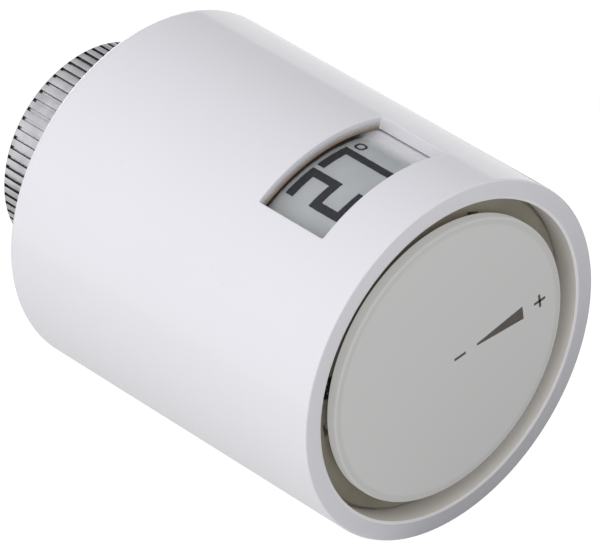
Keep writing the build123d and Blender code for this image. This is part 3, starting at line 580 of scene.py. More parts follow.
# ---- shaping -------------------------------------------------------------------------------------
def rounded(corners: Sequence[Triple], steps: int = 5, margin: float = 0.15) -> list[Point]:
    """Rounds the corners of a closed outline.

    Each rounded corner is held by a point a little way along both of its sides, so that the flats
    beside it stay flat in the light.

    Args:
        corners: Corners as (radius, height, fillet radius).
        steps: Divisions of each fillet.
        margin: How far the holding points stand from the fillet.

    Returns:
        The outline's points, (radius, height).
    """
    outline: list[Point] = []
    count = len(corners)
    for index, (radius, height, fillet) in enumerate(corners):
        here = Vector((radius, height))
        if fillet <= 0.0:
            outline.append((radius, height))
            continue
        to_last = Vector(corners[index - 1][:2]) - here
        to_next = Vector(corners[(index + 1) % count][:2]) - here
        half = to_last.angle(to_next) / 2
        reach = fillet / math.tan(half)
        first, last = to_last.normalized(), to_next.normalized()
        centre = here + (first + last).normalized() * (fillet / math.sin(half))
        start, end = here + first * reach - centre, here + last * reach - centre
        outline.append(tuple(here + first * (reach + min(margin, (to_last.length - reach) * 0.3))))
        outline += [
            tuple(centre + start.normalized().slerp(end.normalized(), step / steps) * fillet)
            for step in range(steps + 1)
        ]
        outline.append(tuple(here + last * (reach + min(margin, (to_next.length - reach) * 0.3))))
    return outline


def angle_of(place: Vector) -> float:
    """Returns a place's angle in degrees, from the top towards +X."""
    return math.degrees(math.atan2(place.x, place.z))


def radius_of(place: Vector) -> float:
    """Returns a place's distance from the axis."""
    return math.hypot(place.x, place.z)


class Form:
    """A piece being shaped in millimetres, which becomes one object in metres."""

    def __init__(self) -> None:
        """Starts an empty piece."""
        self.mesh = bmesh.new()

    def loop(self, outline: Sequence[Point], closed: bool = True) -> tuple[Verts, list[bmesh.types.BMEdge]]:
        """Draws an outline.

        Args:
            outline: Points as (radius, height).
            closed: Whether the last point joins the first.

        Returns:
            Its vertices and edges.
        """
        ring = [self.mesh.verts.new((radius, -height, 0.0)) for radius, height in outline]
        pairs = list(zip(ring, ring[1:])) + ([(ring[-1], ring[0])] if closed else [])
        return ring, [self.mesh.edges.new(pair) for pair in pairs]

    def spin(self, shape: list, angle: float, steps: int, rise: float = 0.0, meet: bool = False) -> None:
        """Sweeps an outline about the Y axis.

        Args:
            shape: The outline's vertices and edges.
            angle: Radians to sweep, towards smaller angles if it is negative.
            steps: Divisions of the sweep.
            rise: Height gained over the sweep.
            meet: Whether the end is joined to the start.
        """
        bmesh.ops.spin(
            self.mesh, geom=shape, cent=(0, 0, 0), axis=(0, 1, 0), angle=angle, steps=steps,
            dvec=(0, -rise / steps, 0), use_merge=meet, use_duplicate=False,
        )

    def lathe(
        self, outline: Sequence[Point], closed: bool = True, centre: Point = (0.0, 0.0), steps: int = FINE,
        first: float = 90.0, sweep: float = 360.0,
    ) -> None:
        """Spins an outline about a line along Y.

        Args:
            outline: Points as (radius, height).
            closed: Whether the last point joins the first.
            centre: Where the line crosses the XZ plane.
            steps: Divisions of the sweep.
            first: Angle that the sweep starts from, in degrees from the top towards +X.
            sweep: Degrees to sweep, towards smaller angles.
        """
        known = set(self.mesh.verts)
        ring, edges = self.loop(outline, closed)
        start = Matrix.Rotation(math.radians(first - 90.0), 3, "Y")
        bmesh.ops.rotate(self.mesh, verts=ring, cent=(0, 0, 0), matrix=start)
        self.spin(ring + edges, -math.radians(sweep), steps, meet=sweep >= 360.0)
        made = [vert for vert in self.mesh.verts if vert not in known]
        bmesh.ops.translate(self.mesh, verts=made, vec=(centre[0], 0, centre[1]))

    def coil(
        self, centre: Point, start: float, end: float, wide: float, narrow: float, wire: float, turns: float
    ) -> None:
        """Winds a wire between two heights, from a wide end to a narrow one.

        Args:
            centre: The coil's middle across the axis.
            start: Height of the wide end.
            end: Height of the narrow end.
            wide: Outer radius of the wide end.
            narrow: Outer radius of the narrow end.
            wire: Diameter of the wire.
            turns: Number of turns.
        """
        toward = math.copysign(1.0, end - start)
        foot, head = start + toward * wire / 2, end - toward * wire / 2
        known = set(self.mesh.verts)
        place = Matrix.Translation((wide - wire / 2, -foot, 0))
        made = bmesh.ops.create_circle(
            self.mesh, segments=WIRE_SIDES, radius=wire / 2, cap_ends=False, matrix=place
        )["verts"]
        edges = [edge for edge in self.mesh.edges if edge.verts[0] not in known]
        self.spin(made + edges, math.tau * turns, round(turns * COIL_STEPS), head - foot)
        wound = [vert for vert in self.mesh.verts if vert not in known]
        for vert in wound:
            share = (-vert.co.y - foot) / (head - foot)
            factor = 1.0 - (1.0 - narrow / wide) * min(1.0, max(0.0, share))
            vert.co.x, vert.co.z = vert.co.x * factor, vert.co.z * factor
        bmesh.ops.translate(self.mesh, verts=wound, vec=(centre[0], 0, centre[1]))
        self.close()

    def block(
        self, size: Triple, place: Triple, turn: float = 0.0, soften: float = 0.0, index: int = 0
    ) -> Verts:
        """Adds a block.

        Args:
            size: Its size along X, Y and Z before it is turned.
            place: Its middle.
            turn: Degrees that it is turned about Y.
            soften: Width of the bevel on its edges.

        Returns:
            Its vertices.
        """
        known = set(self.mesh.verts)
        matrix = Matrix.Translation(place) @ Matrix.Rotation(math.radians(turn), 4, "Y")
        matrix = matrix @ Matrix.Diagonal((*size, 1.0))
        made = bmesh.ops.create_cube(self.mesh, size=1.0, matrix=matrix)["verts"]
        if soften:
            self.bevel([edge for edge in self.mesh.edges if edge.verts[0] not in known], soften, 2)
            made = [vert for vert in self.mesh.verts if vert not in known]
        for face in self.mesh.faces:
            if face.verts[0] not in known:
                face.material_index = index
        return made

    def bevel(self, edges: list[bmesh.types.BMEdge], width: float, segments: int = 3) -> None:
        """Rounds edges to a width."""
        bmesh.ops.bevel(
            self.mesh, geom=edges, offset=width, offset_type="OFFSET", affect="EDGES", segments=segments,
            profile=0.5, material=-1, clamp_overlap=True,
        )

    def close(self) -> None:
        """Fills the open ends of a wire, a plate or a pocket."""
        open_edges = [edge for edge in self.mesh.edges if edge.is_boundary]
        bmesh.ops.holes_fill(self.mesh, edges=open_edges, sides=0)

    def weld(self, distance: float = 0.0005) -> None:
        """Merges vertices that lie on each other."""
        bmesh.ops.remove_doubles(self.mesh, verts=self.mesh.verts[:], dist=distance)

    def paint(self, index: int, test: Callable[[Vector], bool]) -> None:
        """Gives a finish to the faces whose middles pass a test.

        Args:
            test: Tells from a face's middle whether it takes the finish.
        """
        for face in self.mesh.faces:
            if test(face.calc_center_median()):
                face.material_index = index

    def finish(
        self, name: str, finishes: Sequence[Finish], body: Body, replaces: str = "", slot: str = "",
        even: bool = True, outward: bool = True,
    ) -> None:
        """Turns the form into an object that rides on a body.

        Args:
            name: Name of the piece.
            finishes: Its finishes, by material number.
            body: The body it rides on.
            replaces: The CAD node it stands for, if any.
            slot: The record's material slot of the piece; not used.
            even: Whether large faces rule the shading beside small ones.
            outward: Whether the faces are turned outwards first.
        """
        self.weld()
        if outward:
            bmesh.ops.recalc_face_normals(self.mesh, faces=self.mesh.faces[:])
        bmesh.ops.scale(self.mesh, vec=(MM, MM, MM), verts=self.mesh.verts[:])
        for face in self.mesh.faces:
            face.smooth = True
        for edge in self.mesh.edges:
            edge.smooth = not edge.is_manifold or edge.calc_face_angle() < CREASE
        data = bpy.data.meshes.new(name)
        self.mesh.to_mesh(data)
        self.mesh.free()
        piece = bpy.data.objects.new(name, data)
        bpy.context.scene.collection.objects.link(piece)
        for finish in finishes:
            data.materials.append(material_of(finish))
        if even:
            weighted = piece.modifiers.new("even_shading", "WEIGHTED_NORMAL")
            weighted.keep_sharp = True
        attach(piece, body.value)
        if replaces:
            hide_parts(replaces)
        log.info("%s rides on %s, %d faces", name, body.value, len(data.polygons))


def dress(finish: Finish, *nodes: str) -> None:
    """Gives a finish to CAD nodes that keep their shape.

    Args:
        finish: The finish.
        *nodes: Names of the CAD nodes.
    """
    for node in nodes:
        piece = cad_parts[node]
        if not piece.material_slots:
            piece.data.materials.append(None)
        for held in piece.material_slots:
            held.material = material_of(finish)
        log.info("%s keeps its CAD shape, finished in %s", node, finish.name)


def loose_boxes(node: str) -> list[tuple[Vector, Vector]]:
    """Finds the separate solids of a CAD node.

    Args:
        node: Name of the CAD node.

    Returns:
        The lowest and highest corners of each solid, in millimetres.
    """
    copy = bmesh.new()
    copy.from_mesh(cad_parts[node].data)
    bmesh.ops.remove_doubles(copy, verts=copy.verts[:], dist=0.002 * MM)
    waiting = set(copy.verts)
    boxes = []
    while waiting:
        group, front = set(), [waiting.pop()]
        while front:
            vert = front.pop()
            group.add(vert)
            for edge in vert.link_edges:
                other = edge.other_vert(vert)
                if other in waiting:
                    waiting.discard(other)
                    front.append(other)
        places = [vert.co / MM for vert in group]
        low = Vector(min(place[axis] for place in places) for axis in range(3))
        high = Vector(max(place[axis] for place in places) for axis in range(3))
        boxes.append((low, high))
    copy.free()
    return sorted(boxes, key=lambda box: tuple(box[0]))


# ---- sub-assemblies ------------------------------------------------------------------------------
@dataclass
class SettingSleeve:
    """The white sleeve that the hand turns: collar, window, rounded rear edge and drive notches."""

    wall: float = 1.9
    collar_wall: float = 3.15
    rear_fillet: float = 1.6
    rim_fillet: float = 0.25
    bevel_width: float = 0.45
    bevel_depth: float = 0.15
    window_from: float = 56.5
    window_to: float = 70.0
    window_half_angle: float = 25.5
    window_corner: float = 0.35
    window_edge: float = 0.22
    collar_step: float = 1.5
    notch_depth: float = 0.7
    notch_length: float = 2.2
    notch_half_angle: float = 6.0

    def __post_init__(self) -> None:
        """Reads the sleeve's size from the frame."""
        self.span = Span.of("setting_sleeve")
        self.bore = self.span.radius - self.wall

    def outline(self, notched: bool) -> list[Point]:
        """Draws the wall in section.

        Args:
            notched: Whether the section runs through a drive notch.

        Returns:
            The outline, (radius, height).
        """
        outer, back, rim = self.span.radius, self.span.start, self.span.end
        collar = outer - self.collar_wall
        notch_to = back + self.notch_length
        deep = self.bore + self.notch_depth
        seat = (
            [(self.bore, notch_to, 0), (deep, notch_to, 0), (deep, back, 0)]
            if notched
            else [(self.bore, notch_to, 0), (self.bore, back, 0), (deep, back, 0)]
        )
        hold = 0.5
        return rounded(
            [
                *seat, (outer, back, self.rear_fillet), (outer, self.window_from - hold, 0),
                (outer, self.window_from, 0), (outer, self.window_to, 0),
                (outer, self.window_to + hold, 0), (outer, rim, self.rim_fillet),
                (collar + self.bevel_width, rim, 0.04), (collar, rim - self.bevel_depth, 0.05),
                (collar, self.window_to + self.collar_step, 0),
                (self.bore, self.window_to + self.collar_step, 0), (self.bore, self.window_to, 0),
                (self.bore, self.window_from, 0),
            ],
            steps=7,
        )

    def cut_window(self, form: Form) -> None:
        """Opens the window through the wall and rounds its edges.

        Args:
            form: The sleeve being shaped.
        """

        def in_window(place: Vector) -> bool:
            """Tells whether a place on either wall lies in the window."""
            return (
                self.window_from < -place.y < self.window_to
                and abs(angle_of(place)) < self.window_half_angle
                and radius_of(place) > self.bore - 0.5
            )

        removed = [face for face in form.mesh.faces if in_window(face.calc_center_median())]
        bmesh.ops.delete(form.mesh, geom=removed, context="FACES")
        rims = [edge for edge in form.mesh.edges if edge.is_boundary]
        bmesh.ops.bridge_loops(form.mesh, edges=rims)

        def at_corner(vert: bmesh.types.BMVert) -> bool:
            """Tells whether a vertex stands at a corner of the window."""
            height = -vert.co.y
            return abs(abs(angle_of(vert.co)) - self.window_half_angle) < 0.05 and (
                abs(height - self.window_from) < 0.01 or abs(height - self.window_to) < 0.01
            )

        corners = [
            edge
            for edge in form.mesh.edges
            if all(at_corner(vert) for vert in edge.verts)
            and abs(radius_of(edge.verts[0].co) - radius_of(edge.verts[1].co)) > self.wall / 2
        ]
        form.bevel(corners, self.window_corner, 4)
        crease = math.radians(60.0)
        middle = (self.window_from + self.window_to) / 2
        reach = (self.window_to - self.window_from) / 2 + 0.1
        edges = [
            edge
            for edge in form.mesh.edges
            if edge.is_manifold
            and edge.calc_face_angle() > crease
            and all(
                radius_of(vert.co) > self.span.radius - 0.02 and abs(-vert.co.y - middle) < reach
                for vert in edge.verts
            )
        ]
        form.bevel(edges, self.window_edge, 3)

    def build(self) -> None:
        """Makes the sleeve."""
        form = Form()
        step = 360.0 / FINE
        for quarter in range(4):
            notch = 45.0 + 90.0 * quarter + self.notch_half_angle
            plain = 90.0 - 2 * self.notch_half_angle
            wide = 2 * self.notch_half_angle
            form.lathe(self.outline(True), steps=round(wide / step), first=notch, sweep=wide)
            form.lathe(self.outline(False), steps=round(plain / step), first=notch + plain, sweep=plain)
        form.weld()
        form.close()
        self.cut_window(form)
        collar = self.span.radius - self.collar_wall
        form.paint(1, lambda place: radius_of(place) < collar + 0.03)
        # painted shade on the window's back and left walls
        form.paint(2, self.on_shaded_window_wall)
        # painted highlight on the bevel round the mouth of the recess
        form.paint(3, self.on_highlight_bevel)
        finishes = [SHELL, SHELL_INSIDE, SHADED_WINDOW_WALL, SHELL_HIGHLIGHT]
        form.finish("turning_sleeve", finishes, Body.SLEEVE, "setting_sleeve", "white_shell")

    def on_highlight_bevel(self, place: Vector) -> bool:
        """Tells whether a place lies on the bevel round the mouth of the recess, which takes the painted
        highlight.
        """
        inner = self.span.radius - self.collar_wall
        return (
            inner + 0.03 < radius_of(place) < inner + self.bevel_width
            and -place.y > self.span.end - self.bevel_depth - 0.02
        )

    def on_shaded_window_wall(self, place: Vector) -> bool:
        """Tells whether a place lies on the window's back or left wall, inside the rounded edges, where
        shade is painted.
        """
        return (
            -self.window_half_angle - 0.2 < angle_of(place) < self.window_half_angle - 0.5
            and self.window_from - 0.1 < -place.y < self.window_to + 0.1
            and self.bore + 0.1 < radius_of(place) < self.span.radius - self.window_edge
        )


@dataclass
class Display:
    """The curved display: panel, figures, degree mark and the frosted lens over them."""

    panel_gap: float = 0.06
    ink_height: float = 0.02
    stroke: float = 1.62
    figure_width: float = 6.05
    figure_from: float = 56.75
    figure_to: float = 68.05
    cell: float = 0.18
    first_figure: float = -7.85
    second_figure: float = -1.2
    mark_at: Point = (6.4, 58.2)

    def __post_init__(self) -> None:
        """Reads the lens and the panel from the frame."""
        self.lens = Span.of("window_lens")
        self.panel = Span.of("display_panel")
        self.lens_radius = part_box("window_lens")[1].z / MM
        self.panel_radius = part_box("display_panel")[1].z / MM
        self.back_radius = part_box("display_carrier")[1].z / MM
        self.lens_half = math.degrees(math.asin(self.lens.half_x / self.lens_radius))
        self.panel_half = math.degrees(math.asin(self.panel.half_x / self.panel_radius))

    def plate(self, outer: float, inner: float, half: float, span: Span) -> Form:
        """Shapes a curved plate on top of the head.

        Args:
            outer: Its outer radius.
            inner: Its inner radius.
            half: Half of the angle that it spans.
            span: Where its heights come from.

        Returns:
            The plate.
        """
        form = Form()
        top, foot = 0.08, 0.03
        upper = [(outer, span.start, top), (outer, span.end, top)]
        lower = [(inner, span.end, foot), (inner, span.start, foot)]
        ends = rounded(upper + lower, steps=2, margin=0.05)
        form.lathe(ends, steps=round(2 * half), first=half, sweep=2 * half)
        form.close()
        return form

    def strokes(self, left: float, segments: str) -> list[Bar]:
        """Lists the bars of one figure.

        Args:
            left: Place of the figure's left side round the panel.
            segments: Letters of the segments that are on, as a to g are usually named.

        Returns:
            The bars as (left, right, start, end).
        """
        right, top, foot, bar = left + self.figure_width, self.figure_from, self.figure_to, self.stroke
        middle = (top + foot) / 2
        bars = {
            "a": (left, right, top, top + bar), "b": (right - bar, right, top, middle + bar / 2),
            "c": (right - bar, right, middle - bar / 2, foot), "d": (left, right, foot - bar, foot),
            "e": (left, left + bar, middle - bar / 2, foot),
            "f": (left, left + bar, top, middle + bar / 2),
            "g": (left, right, middle - bar / 2, middle + bar / 2),
        }
        return [bars[letter] for letter in segments]

    def ink(self, name: str, inside: Callable[[float, float], bool], box: Bar, finish: SegmentInk) -> None:
        """Lays a patch of fine cells round the panel and keeps those that are inked.

        Args:
            name: Name of the piece.
            inside: Tells whether a place (along the arc, height) is inked.
            box: The patch as (left, right, start, end).
            finish: Its ink.
        """
        left, right, start, end = box
        form = Form()
        across, along = round((right - left) / self.cell), round((end - start) / self.cell)
        matrix = Matrix.Translation(((left + right) / 2, -(start + end) / 2, 0)) @ Matrix.Diagonal(
            (right - left, end - start, 1.0, 1.0)
        )
        bmesh.ops.create_grid(form.mesh, x_segments=across, y_segments=along, size=0.5, matrix=matrix)
        blank = [
            face
            for face in form.mesh.faces
            if not inside(face.calc_center_median().x, -face.calc_center_median().y)
        ]
        bmesh.ops.delete(form.mesh, geom=blank, context="FACES")
        edge = form.mesh.verts.layers.float.new(INK_EDGE)
        radius = self.panel_radius - self.panel_gap + self.ink_height
        for vert in form.mesh.verts:
            vert[edge] = 0.0 if vert.is_boundary else 1.0
            turn = vert.co.x / self.panel_radius
            vert.co.x, vert.co.z = radius * math.sin(turn), radius * math.cos(turn)
        form.finish(name, [finish], Body.ROOT, slot="display_glass", even=False, outward=False)

    def build(self) -> None:
        """Makes the panel, its figures and the lens."""
        panel = self.plate(self.panel_radius - self.panel_gap, self.back_radius, self.panel_half, self.panel)
        panel.finish("segment_panel", [PANEL], Body.ROOT, "display_panel", "display_glass")
        for name, left, segments in (
            ("figure_two", self.first_figure, "abged"),
            ("figure_seven", self.second_figure, "abc"),
        ):
            bars = self.strokes(left, segments)
            box = (left, left + self.figure_width, self.figure_from, self.figure_to)
            self.ink(
                name,
                lambda x, height, bars=bars: any(a < x < b and c < height < d for a, b, c, d in bars),
                box, INK,
            )
        (x, height), inner, outer, reach = self.mark_at, 0.45, 1.1, 1.2
        box = (x - reach, x + reach, height - reach, height + reach)
        self.ink("degree_mark", lambda u, v: inner < math.hypot(u - x, v - height) < outer, box, FAINT_INK)
        lens = self.plate(self.lens_radius, self.panel_radius + self.panel_gap, self.lens_half, self.lens)
        lens.finish("display_lens", [LENS], Body.ROOT, "window_lens", "lens_smoke")


@dataclass
class SettingFace:
    """The disc that floats in the front recess, with its plain minus and plus mark."""

    front_fillet: float = 0.35
    rear_fillet: float = 0.3
    recess_radius: float = 21.82
    recess_depth: float = 0.9
    mark_from: Point = (0.9, -0.5)
    mark_to: Point = (19.6, -0.7)
    mark_bar: float = 0.45
    mark_height: float = 0.03
    mark_size: float = 2.3
    wedge_taper: float = 0.85

    def build(self) -> None:
        """Makes the disc and its mark."""
        span = Span.of("face_disc")
        form = Form()
        outline = rounded(
            [
                (0.0, span.start + self.recess_depth, 0),
                (self.recess_radius, span.start + self.recess_depth, 0),
                (self.recess_radius, span.start, 0), (span.radius, span.start, self.rear_fillet),
                (span.radius, span.end, self.front_fillet), (0.0, span.end, 0),
            ],
            steps=6,
        )
        form.lathe(outline, closed=False)
        form.finish("floating_disc", [DISC], Body.ROOT, "face_disc", "face_grey")
        self.mark(span.end)

    def mark(self, height: float) -> None:
        """Makes the mark: a minus, a wedge that grows and a plus, on one slanting line.

        Args:
            height: Height of the disc's face.
        """
        form = Form()
        start, end = Vector(self.mark_from), Vector(self.mark_to)
        along = (end - start).normalized()
        turn = -math.degrees(math.atan2(along.y, along.x))
        bar, tall = self.mark_bar, self.mark_height
        size = self.mark_size

        def put(place: Vector, long: float, wide: float, extra: float = 0.0) -> list[bmesh.types.BMVert]:
            """Lays one bar of the mark on the face."""
            middle = (place.x, -height - tall / 2, place.y)
            return form.block((long, tall, wide), middle, turn + extra)

        put(start + along * size / 2, size, bar)
        plus = end - along * size / 2
        put(plus, size, bar)
        put(plus, bar, size)
        middle = (start + end) / 2
        wedge = put(middle, (end - start).length - 4 * size, size)
        across = Vector((-along.y, along.x))
        for vert in wedge:
            place = Vector((vert.co.x, vert.co.z)) - middle
            if place.dot(along) < 0:
                lift = place.dot(across) * self.wedge_taper
                vert.co.x -= across.x * lift
                vert.co.z -= across.y * lift
        form.finish("setting_mark", [PRINT], Body.ROOT, slot="face_grey", even=False)


@dataclass
class UnionNut:
    """The plated nut with its ring of fine grooves and its inside thread."""

    chamfer: float = 0.5
    grooves: int = 68
    groove_depth: float = 0.4
    groove_edge: float = 0.07
    bore: float = 15.0
    thread_from: float = 0.5
    thread_to: float = 7.7
    relief: float = 15.35
    web_from: float = 10.0
    web_to: float = 12.4
    web_bore: float = 13.26
    skirt: float = 16.35
    pitch: float = 1.5
    ridge: float = 0.78
    root_share: float = 0.84
    crest_share: float = 0.2
    run_in_share: float = 0.6

    def build(self) -> None:
        """Makes the nut."""
        span = Span.of("union_nut")
        outer, end = round(span.radius, 1), span.end
        form = Form()
        outline = rounded(
            [
                (self.bore + self.chamfer, 0.0, 0.05), (outer - self.chamfer, 0.0, 0.05),
                (outer, self.chamfer, 0), (outer, end - self.chamfer, 0),
                (outer - self.chamfer, end, 0.05), (self.skirt, end, 0.05), (self.skirt, self.web_to, 0),
                (self.web_bore, self.web_to, 0.05), (self.web_bore, self.web_from, 0.05),
                (self.relief, self.web_from, 0), (self.relief, self.thread_to, 0),
                (self.bore, self.thread_to, 0), (self.bore, self.thread_from, 0),
            ],
            steps=2,
            margin=0.05,
        )
        form.lathe(outline, steps=self.grooves * 3)
        form.weld()
        self.cut_grooves(form, outer)
        floor = outer - self.groove_depth + 0.02
        # painted shade: the groove walls take the dark nickel, so each groove shows as a pair of dark lines
        form.paint(1, lambda place: floor < radius_of(place) < outer - 0.1 and place.y > -self.web_to)
        self.add_thread(form)
        form.finish("knurled_nut", [NICKEL, NICKEL_SHADE], Body.NUT, "union_nut", "nickel", even=False)

    def cut_grooves(self, form: Form, outer: float) -> None:
        """Sinks every third strip of the outside as a groove.

        Args:
            form: The nut being shaped.
            outer: Its outer radius.
        """
        pitch = 360.0 / self.grooves

        def is_groove(face: bmesh.types.BMFace) -> bool:
            """Tells whether a face of the outer band is to be a groove."""
            middle = face.calc_center_median()
            inside = radius_of(middle) > outer - 0.05 and abs(face.normal.y) < 0.2
            return inside and (angle_of(middle) % pitch) < pitch / 3

        strips = [face for face in form.mesh.faces if is_groove(face)]
        sunk = bmesh.ops.extrude_discrete_faces(form.mesh, faces=strips)["faces"]
        for face in sunk:
            middle = face.calc_center_median()
            inward = Vector((-middle.x, 0, -middle.z)).normalized() * self.groove_depth
            bmesh.ops.translate(form.mesh, verts=face.verts[:], vec=inward)
        form.weld()
        lips = [
            edge
            for edge in form.mesh.edges
            if edge.is_manifold
            and edge.calc_face_angle() > math.radians(60)
            and all(radius_of(vert.co) > outer - 0.02 for vert in edge.verts)
            and abs(edge.verts[0].co.y - edge.verts[1].co.y) > 1.0
        ]
        form.bevel(lips, self.groove_edge, 2)

    def add_thread(self, form: Form) -> None:
        """Winds the ridge of the inside thread.

        Args:
            form: The nut being shaped.
        """
        root, crest = self.bore + 0.02, self.bore - self.ridge
        half_root, half_crest = self.pitch * self.root_share / 2, self.pitch * self.crest_share / 2
        first = self.thread_from + half_root
        turns = (self.thread_to - self.thread_from - 2 * half_root) / self.pitch
        known = set(form.mesh.verts)
        shape = ((root, -half_root), (crest, -half_crest), (crest, half_crest), (root, half_root))
        ring, edges = form.loop([(radius, first + offset) for radius, offset in shape])
        form.spin(ring + edges, math.tau * turns, round(turns * THREAD_STEPS), turns * self.pitch)
        taper = self.pitch * self.run_in_share
        last = first + turns * self.pitch
        for vert in form.mesh.verts:
            if vert in known or radius_of(vert.co) > self.bore:
                continue
            run = min(-vert.co.y - first, last + half_crest + vert.co.y) + half_crest
            share = min(1.0, max(0.0, run / taper))
            wanted = root - (root - crest) * share
            factor = wanted / radius_of(vert.co)
            vert.co.x, vert.co.z = vert.co.x * factor, vert.co.z * factor
        form.close()


@dataclass
class PowerPack:
    """The two cells with their printed wraps, and the coiled contact springs."""

    nub_radius: float = 2.7
    nub_length: float = 1.0
    shoulder: float = 0.5
    band_length: float = 11.0
    end_ring: float = 1.4
    wire: float = 0.6
    spring_tip: float = 2.6
    spring_turns: float = 4.0
    dish_margin: float = 2.6
    dish_depth: float = 0.15
    dish_slope: float = 0.4
    nub_groove: float = 0.2

    def cell(self, node: str, nub_in_front: bool) -> None:
        """Makes one cell.

        Args:
            node: The CAD node it stands for.
            nub_in_front: Whether the positive end looks to the front.
        """
        span = Span.of(node)
        plus, minus = (span.end, span.start) if nub_in_front else (span.start, span.end)
        toward = math.copysign(1.0, plus - minus)

        def at(distance: float) -> float:
            """Returns the height at a distance from the negative end."""
            return minus + toward * distance

        length = abs(plus - minus)
        shelf_at = length - self.nub_length
        radius = span.radius
        form = Form()
        outline = rounded(
            [
                (0.0, at(self.dish_depth), 0), (radius - self.dish_margin, at(self.dish_depth), 0),
                (radius - self.dish_margin + self.dish_slope, at(0.0), 0.05),
                (radius - self.shoulder, at(0.0), 0.1), (radius, at(self.shoulder), 0.2),
                (radius, at(self.end_ring), 0), (radius, at(shelf_at - self.band_length), 0),
                (radius, at(shelf_at - self.end_ring), 0), (radius, at(shelf_at - self.shoulder), 0.2),
                (radius - self.shoulder, at(shelf_at), 0.1), (self.nub_radius + 0.8, at(shelf_at), 0.1),
                (self.nub_radius + 0.5, at(shelf_at - self.nub_groove), 0.05),
                (self.nub_radius, at(shelf_at - self.nub_groove), 0), (self.nub_radius, at(length), 0.3),
                (0.0, at(length), 0),
            ],
            steps=3,
            margin=0.05,
        )
        form.lathe(outline, closed=False, centre=span.centre, steps=96)

        def reach(place: Vector) -> float:
            """Returns how far a place is from the negative end."""
            return abs(-place.y - minus)

        def out(place: Vector) -> float:
            """Returns how far a place is from the cell's own axis."""
            return math.hypot(place.x - span.x, place.z - span.z)

        form.paint(1, lambda place: out(place) > radius - 1.2)
        band = shelf_at - self.band_length
        form.paint(2, lambda place: out(place) > radius - 1.2 and reach(place) > band)
        name = "cell_" + node.split("_")[1]
        form.finish(name, [STEEL, WRAP, WRAP_BAND], Body.ROOT, node, "cell_label")

    def spring(self, node: str, wide_first: bool) -> None:
        """Makes one conical contact spring with its dead turn at the foot.

        Args:
            node: The CAD node it stands for.
            wide_first: Whether its wide end is at the lower height.
        """
        span = Span.of(node)
        start, end = (span.start, span.end) if wide_first else (span.end, span.start)
        form = Form()
        form.coil(span.centre, start, end, span.radius, self.spring_tip, self.wire, self.spring_turns)
        half = self.wire / 2
        middle = start + math.copysign(half, end - start)
        turns = [math.tau * step / WIRE_SIDES for step in range(WIRE_SIDES)]
        out = span.radius - half
        ring = [(out + half * math.cos(turn), middle + half * math.sin(turn)) for turn in turns]
        form.lathe(ring, centre=span.centre, steps=ROUND)
        form.finish("coil_" + node.split("_")[2], [SPRING], Body.ROOT, node, "spring_steel", even=False)

    def build(self) -> None:
        """Makes the cells and springs, and finishes the flat contacts."""
        self.cell("battery_left", True)
        self.cell("battery_right", False)
        self.spring("contact_spring_left", True)
        self.spring("contact_spring_right", False)
        dress(CONTACT, "positive_contact", "bridge_contact")


@dataclass
class Electronics:
    """The board's parts: leaded chips, small parts with tinned ends and the radio's shield."""

    lead_pitch: float = 0.8
    lead_width: float = 0.3
    chip_edge: float = 0.08
    chip_lift: float = 0.08
    lead_reach: float = 0.35
    tin_share: float = 0.25
    part_edge: float = 0.04
    middle_share: float = 0.94
    flange: float = 0.4
    flange_height: float = 0.3

    def chip(self, form: Form, low: Vector, high: Vector) -> None:
        """Adds one chip with a row of leads along each long side.

        Args:
            form: The parts being shaped.
            low: Lowest corner of its room.
            high: Highest corner of its room.
        """
        size, middle = high - low, (low + high) / 2
        lead = self.lead_reach
        body = (size.x - 2 * lead, size.y, size.z - self.chip_lift)
        form.block(body, (middle.x, middle.y, middle.z + self.chip_lift / 2), soften=self.chip_edge)
        count = int((size.y - 0.4) / self.lead_pitch)
        for side in (-1, 1):
            for number in range(count):
                along = middle.y + (number - (count - 1) / 2) * self.lead_pitch
                place = (middle.x + side * (size.x - lead) / 2, along, low.z + size.z * 0.2)
                form.block((lead, self.lead_width, size.z * 0.4), place, index=1)

    def passive(self, form: Form, low: Vector, high: Vector) -> None:
        """Adds one small part with tinned ends.

        Args:
            form: The parts being shaped.
            low: Lowest corner of its room.
            high: Highest corner of its room.
        """
        size, middle = high - low, (low + high) / 2
        tin, aside = self.tin_share, (1.0 - self.tin_share) / 2
        ends = [(1, tin, -aside, 1.0), (1, tin, aside, 1.0)]
        for index, share, offset, tall in [(2, 1.0 - 2 * tin, 0.0, self.middle_share), *ends]:
            place = (middle.x + offset * size.x, middle.y, middle.z)
            form.block((size.x * share, size.y, size.z * tall), place, soften=self.part_edge, index=index)

    def shield(self) -> None:
        """Makes the radio's shield: a drawn tin lid with a flange round its foot."""
        low, high = (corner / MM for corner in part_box("radio_module"))
        size, middle = high - low, (low + high) / 2
        form = Form()
        foot = low.z + self.flange_height
        form.block((size.x, size.y, self.flange), (middle.x, middle.y, low.z + self.flange / 2), soften=0.05)
        lid = (size.x - 2 * self.flange, size.y - 2 * self.flange, size.z - self.flange_height)
        form.block(lid, (middle.x, middle.y, foot + lid[2] / 2), soften=0.25)
        form.finish("radio_shield", [TIN], Body.ROOT, "radio_module", "shield_tin")

    def build(self) -> None:
        """Makes the board's parts and finishes the board."""
        form = Form()
        for low, high in loose_boxes("board_components"):
            if (high - low).x > 2.0:
                self.chip(form, low, high)
            else:
                self.passive(form, low, high)
        form.finish("board_parts", [CHIP, TIN, CERAMIC], Body.ROOT, "board_components", "chip_black")
        self.shield()
        dress(MASK, "main_board")
        dress(CHIP, "hall_sensors", "temperature_sensor")
        dress(AMBER, "display_ribbon")
        dress(STEEL, "board_screws")


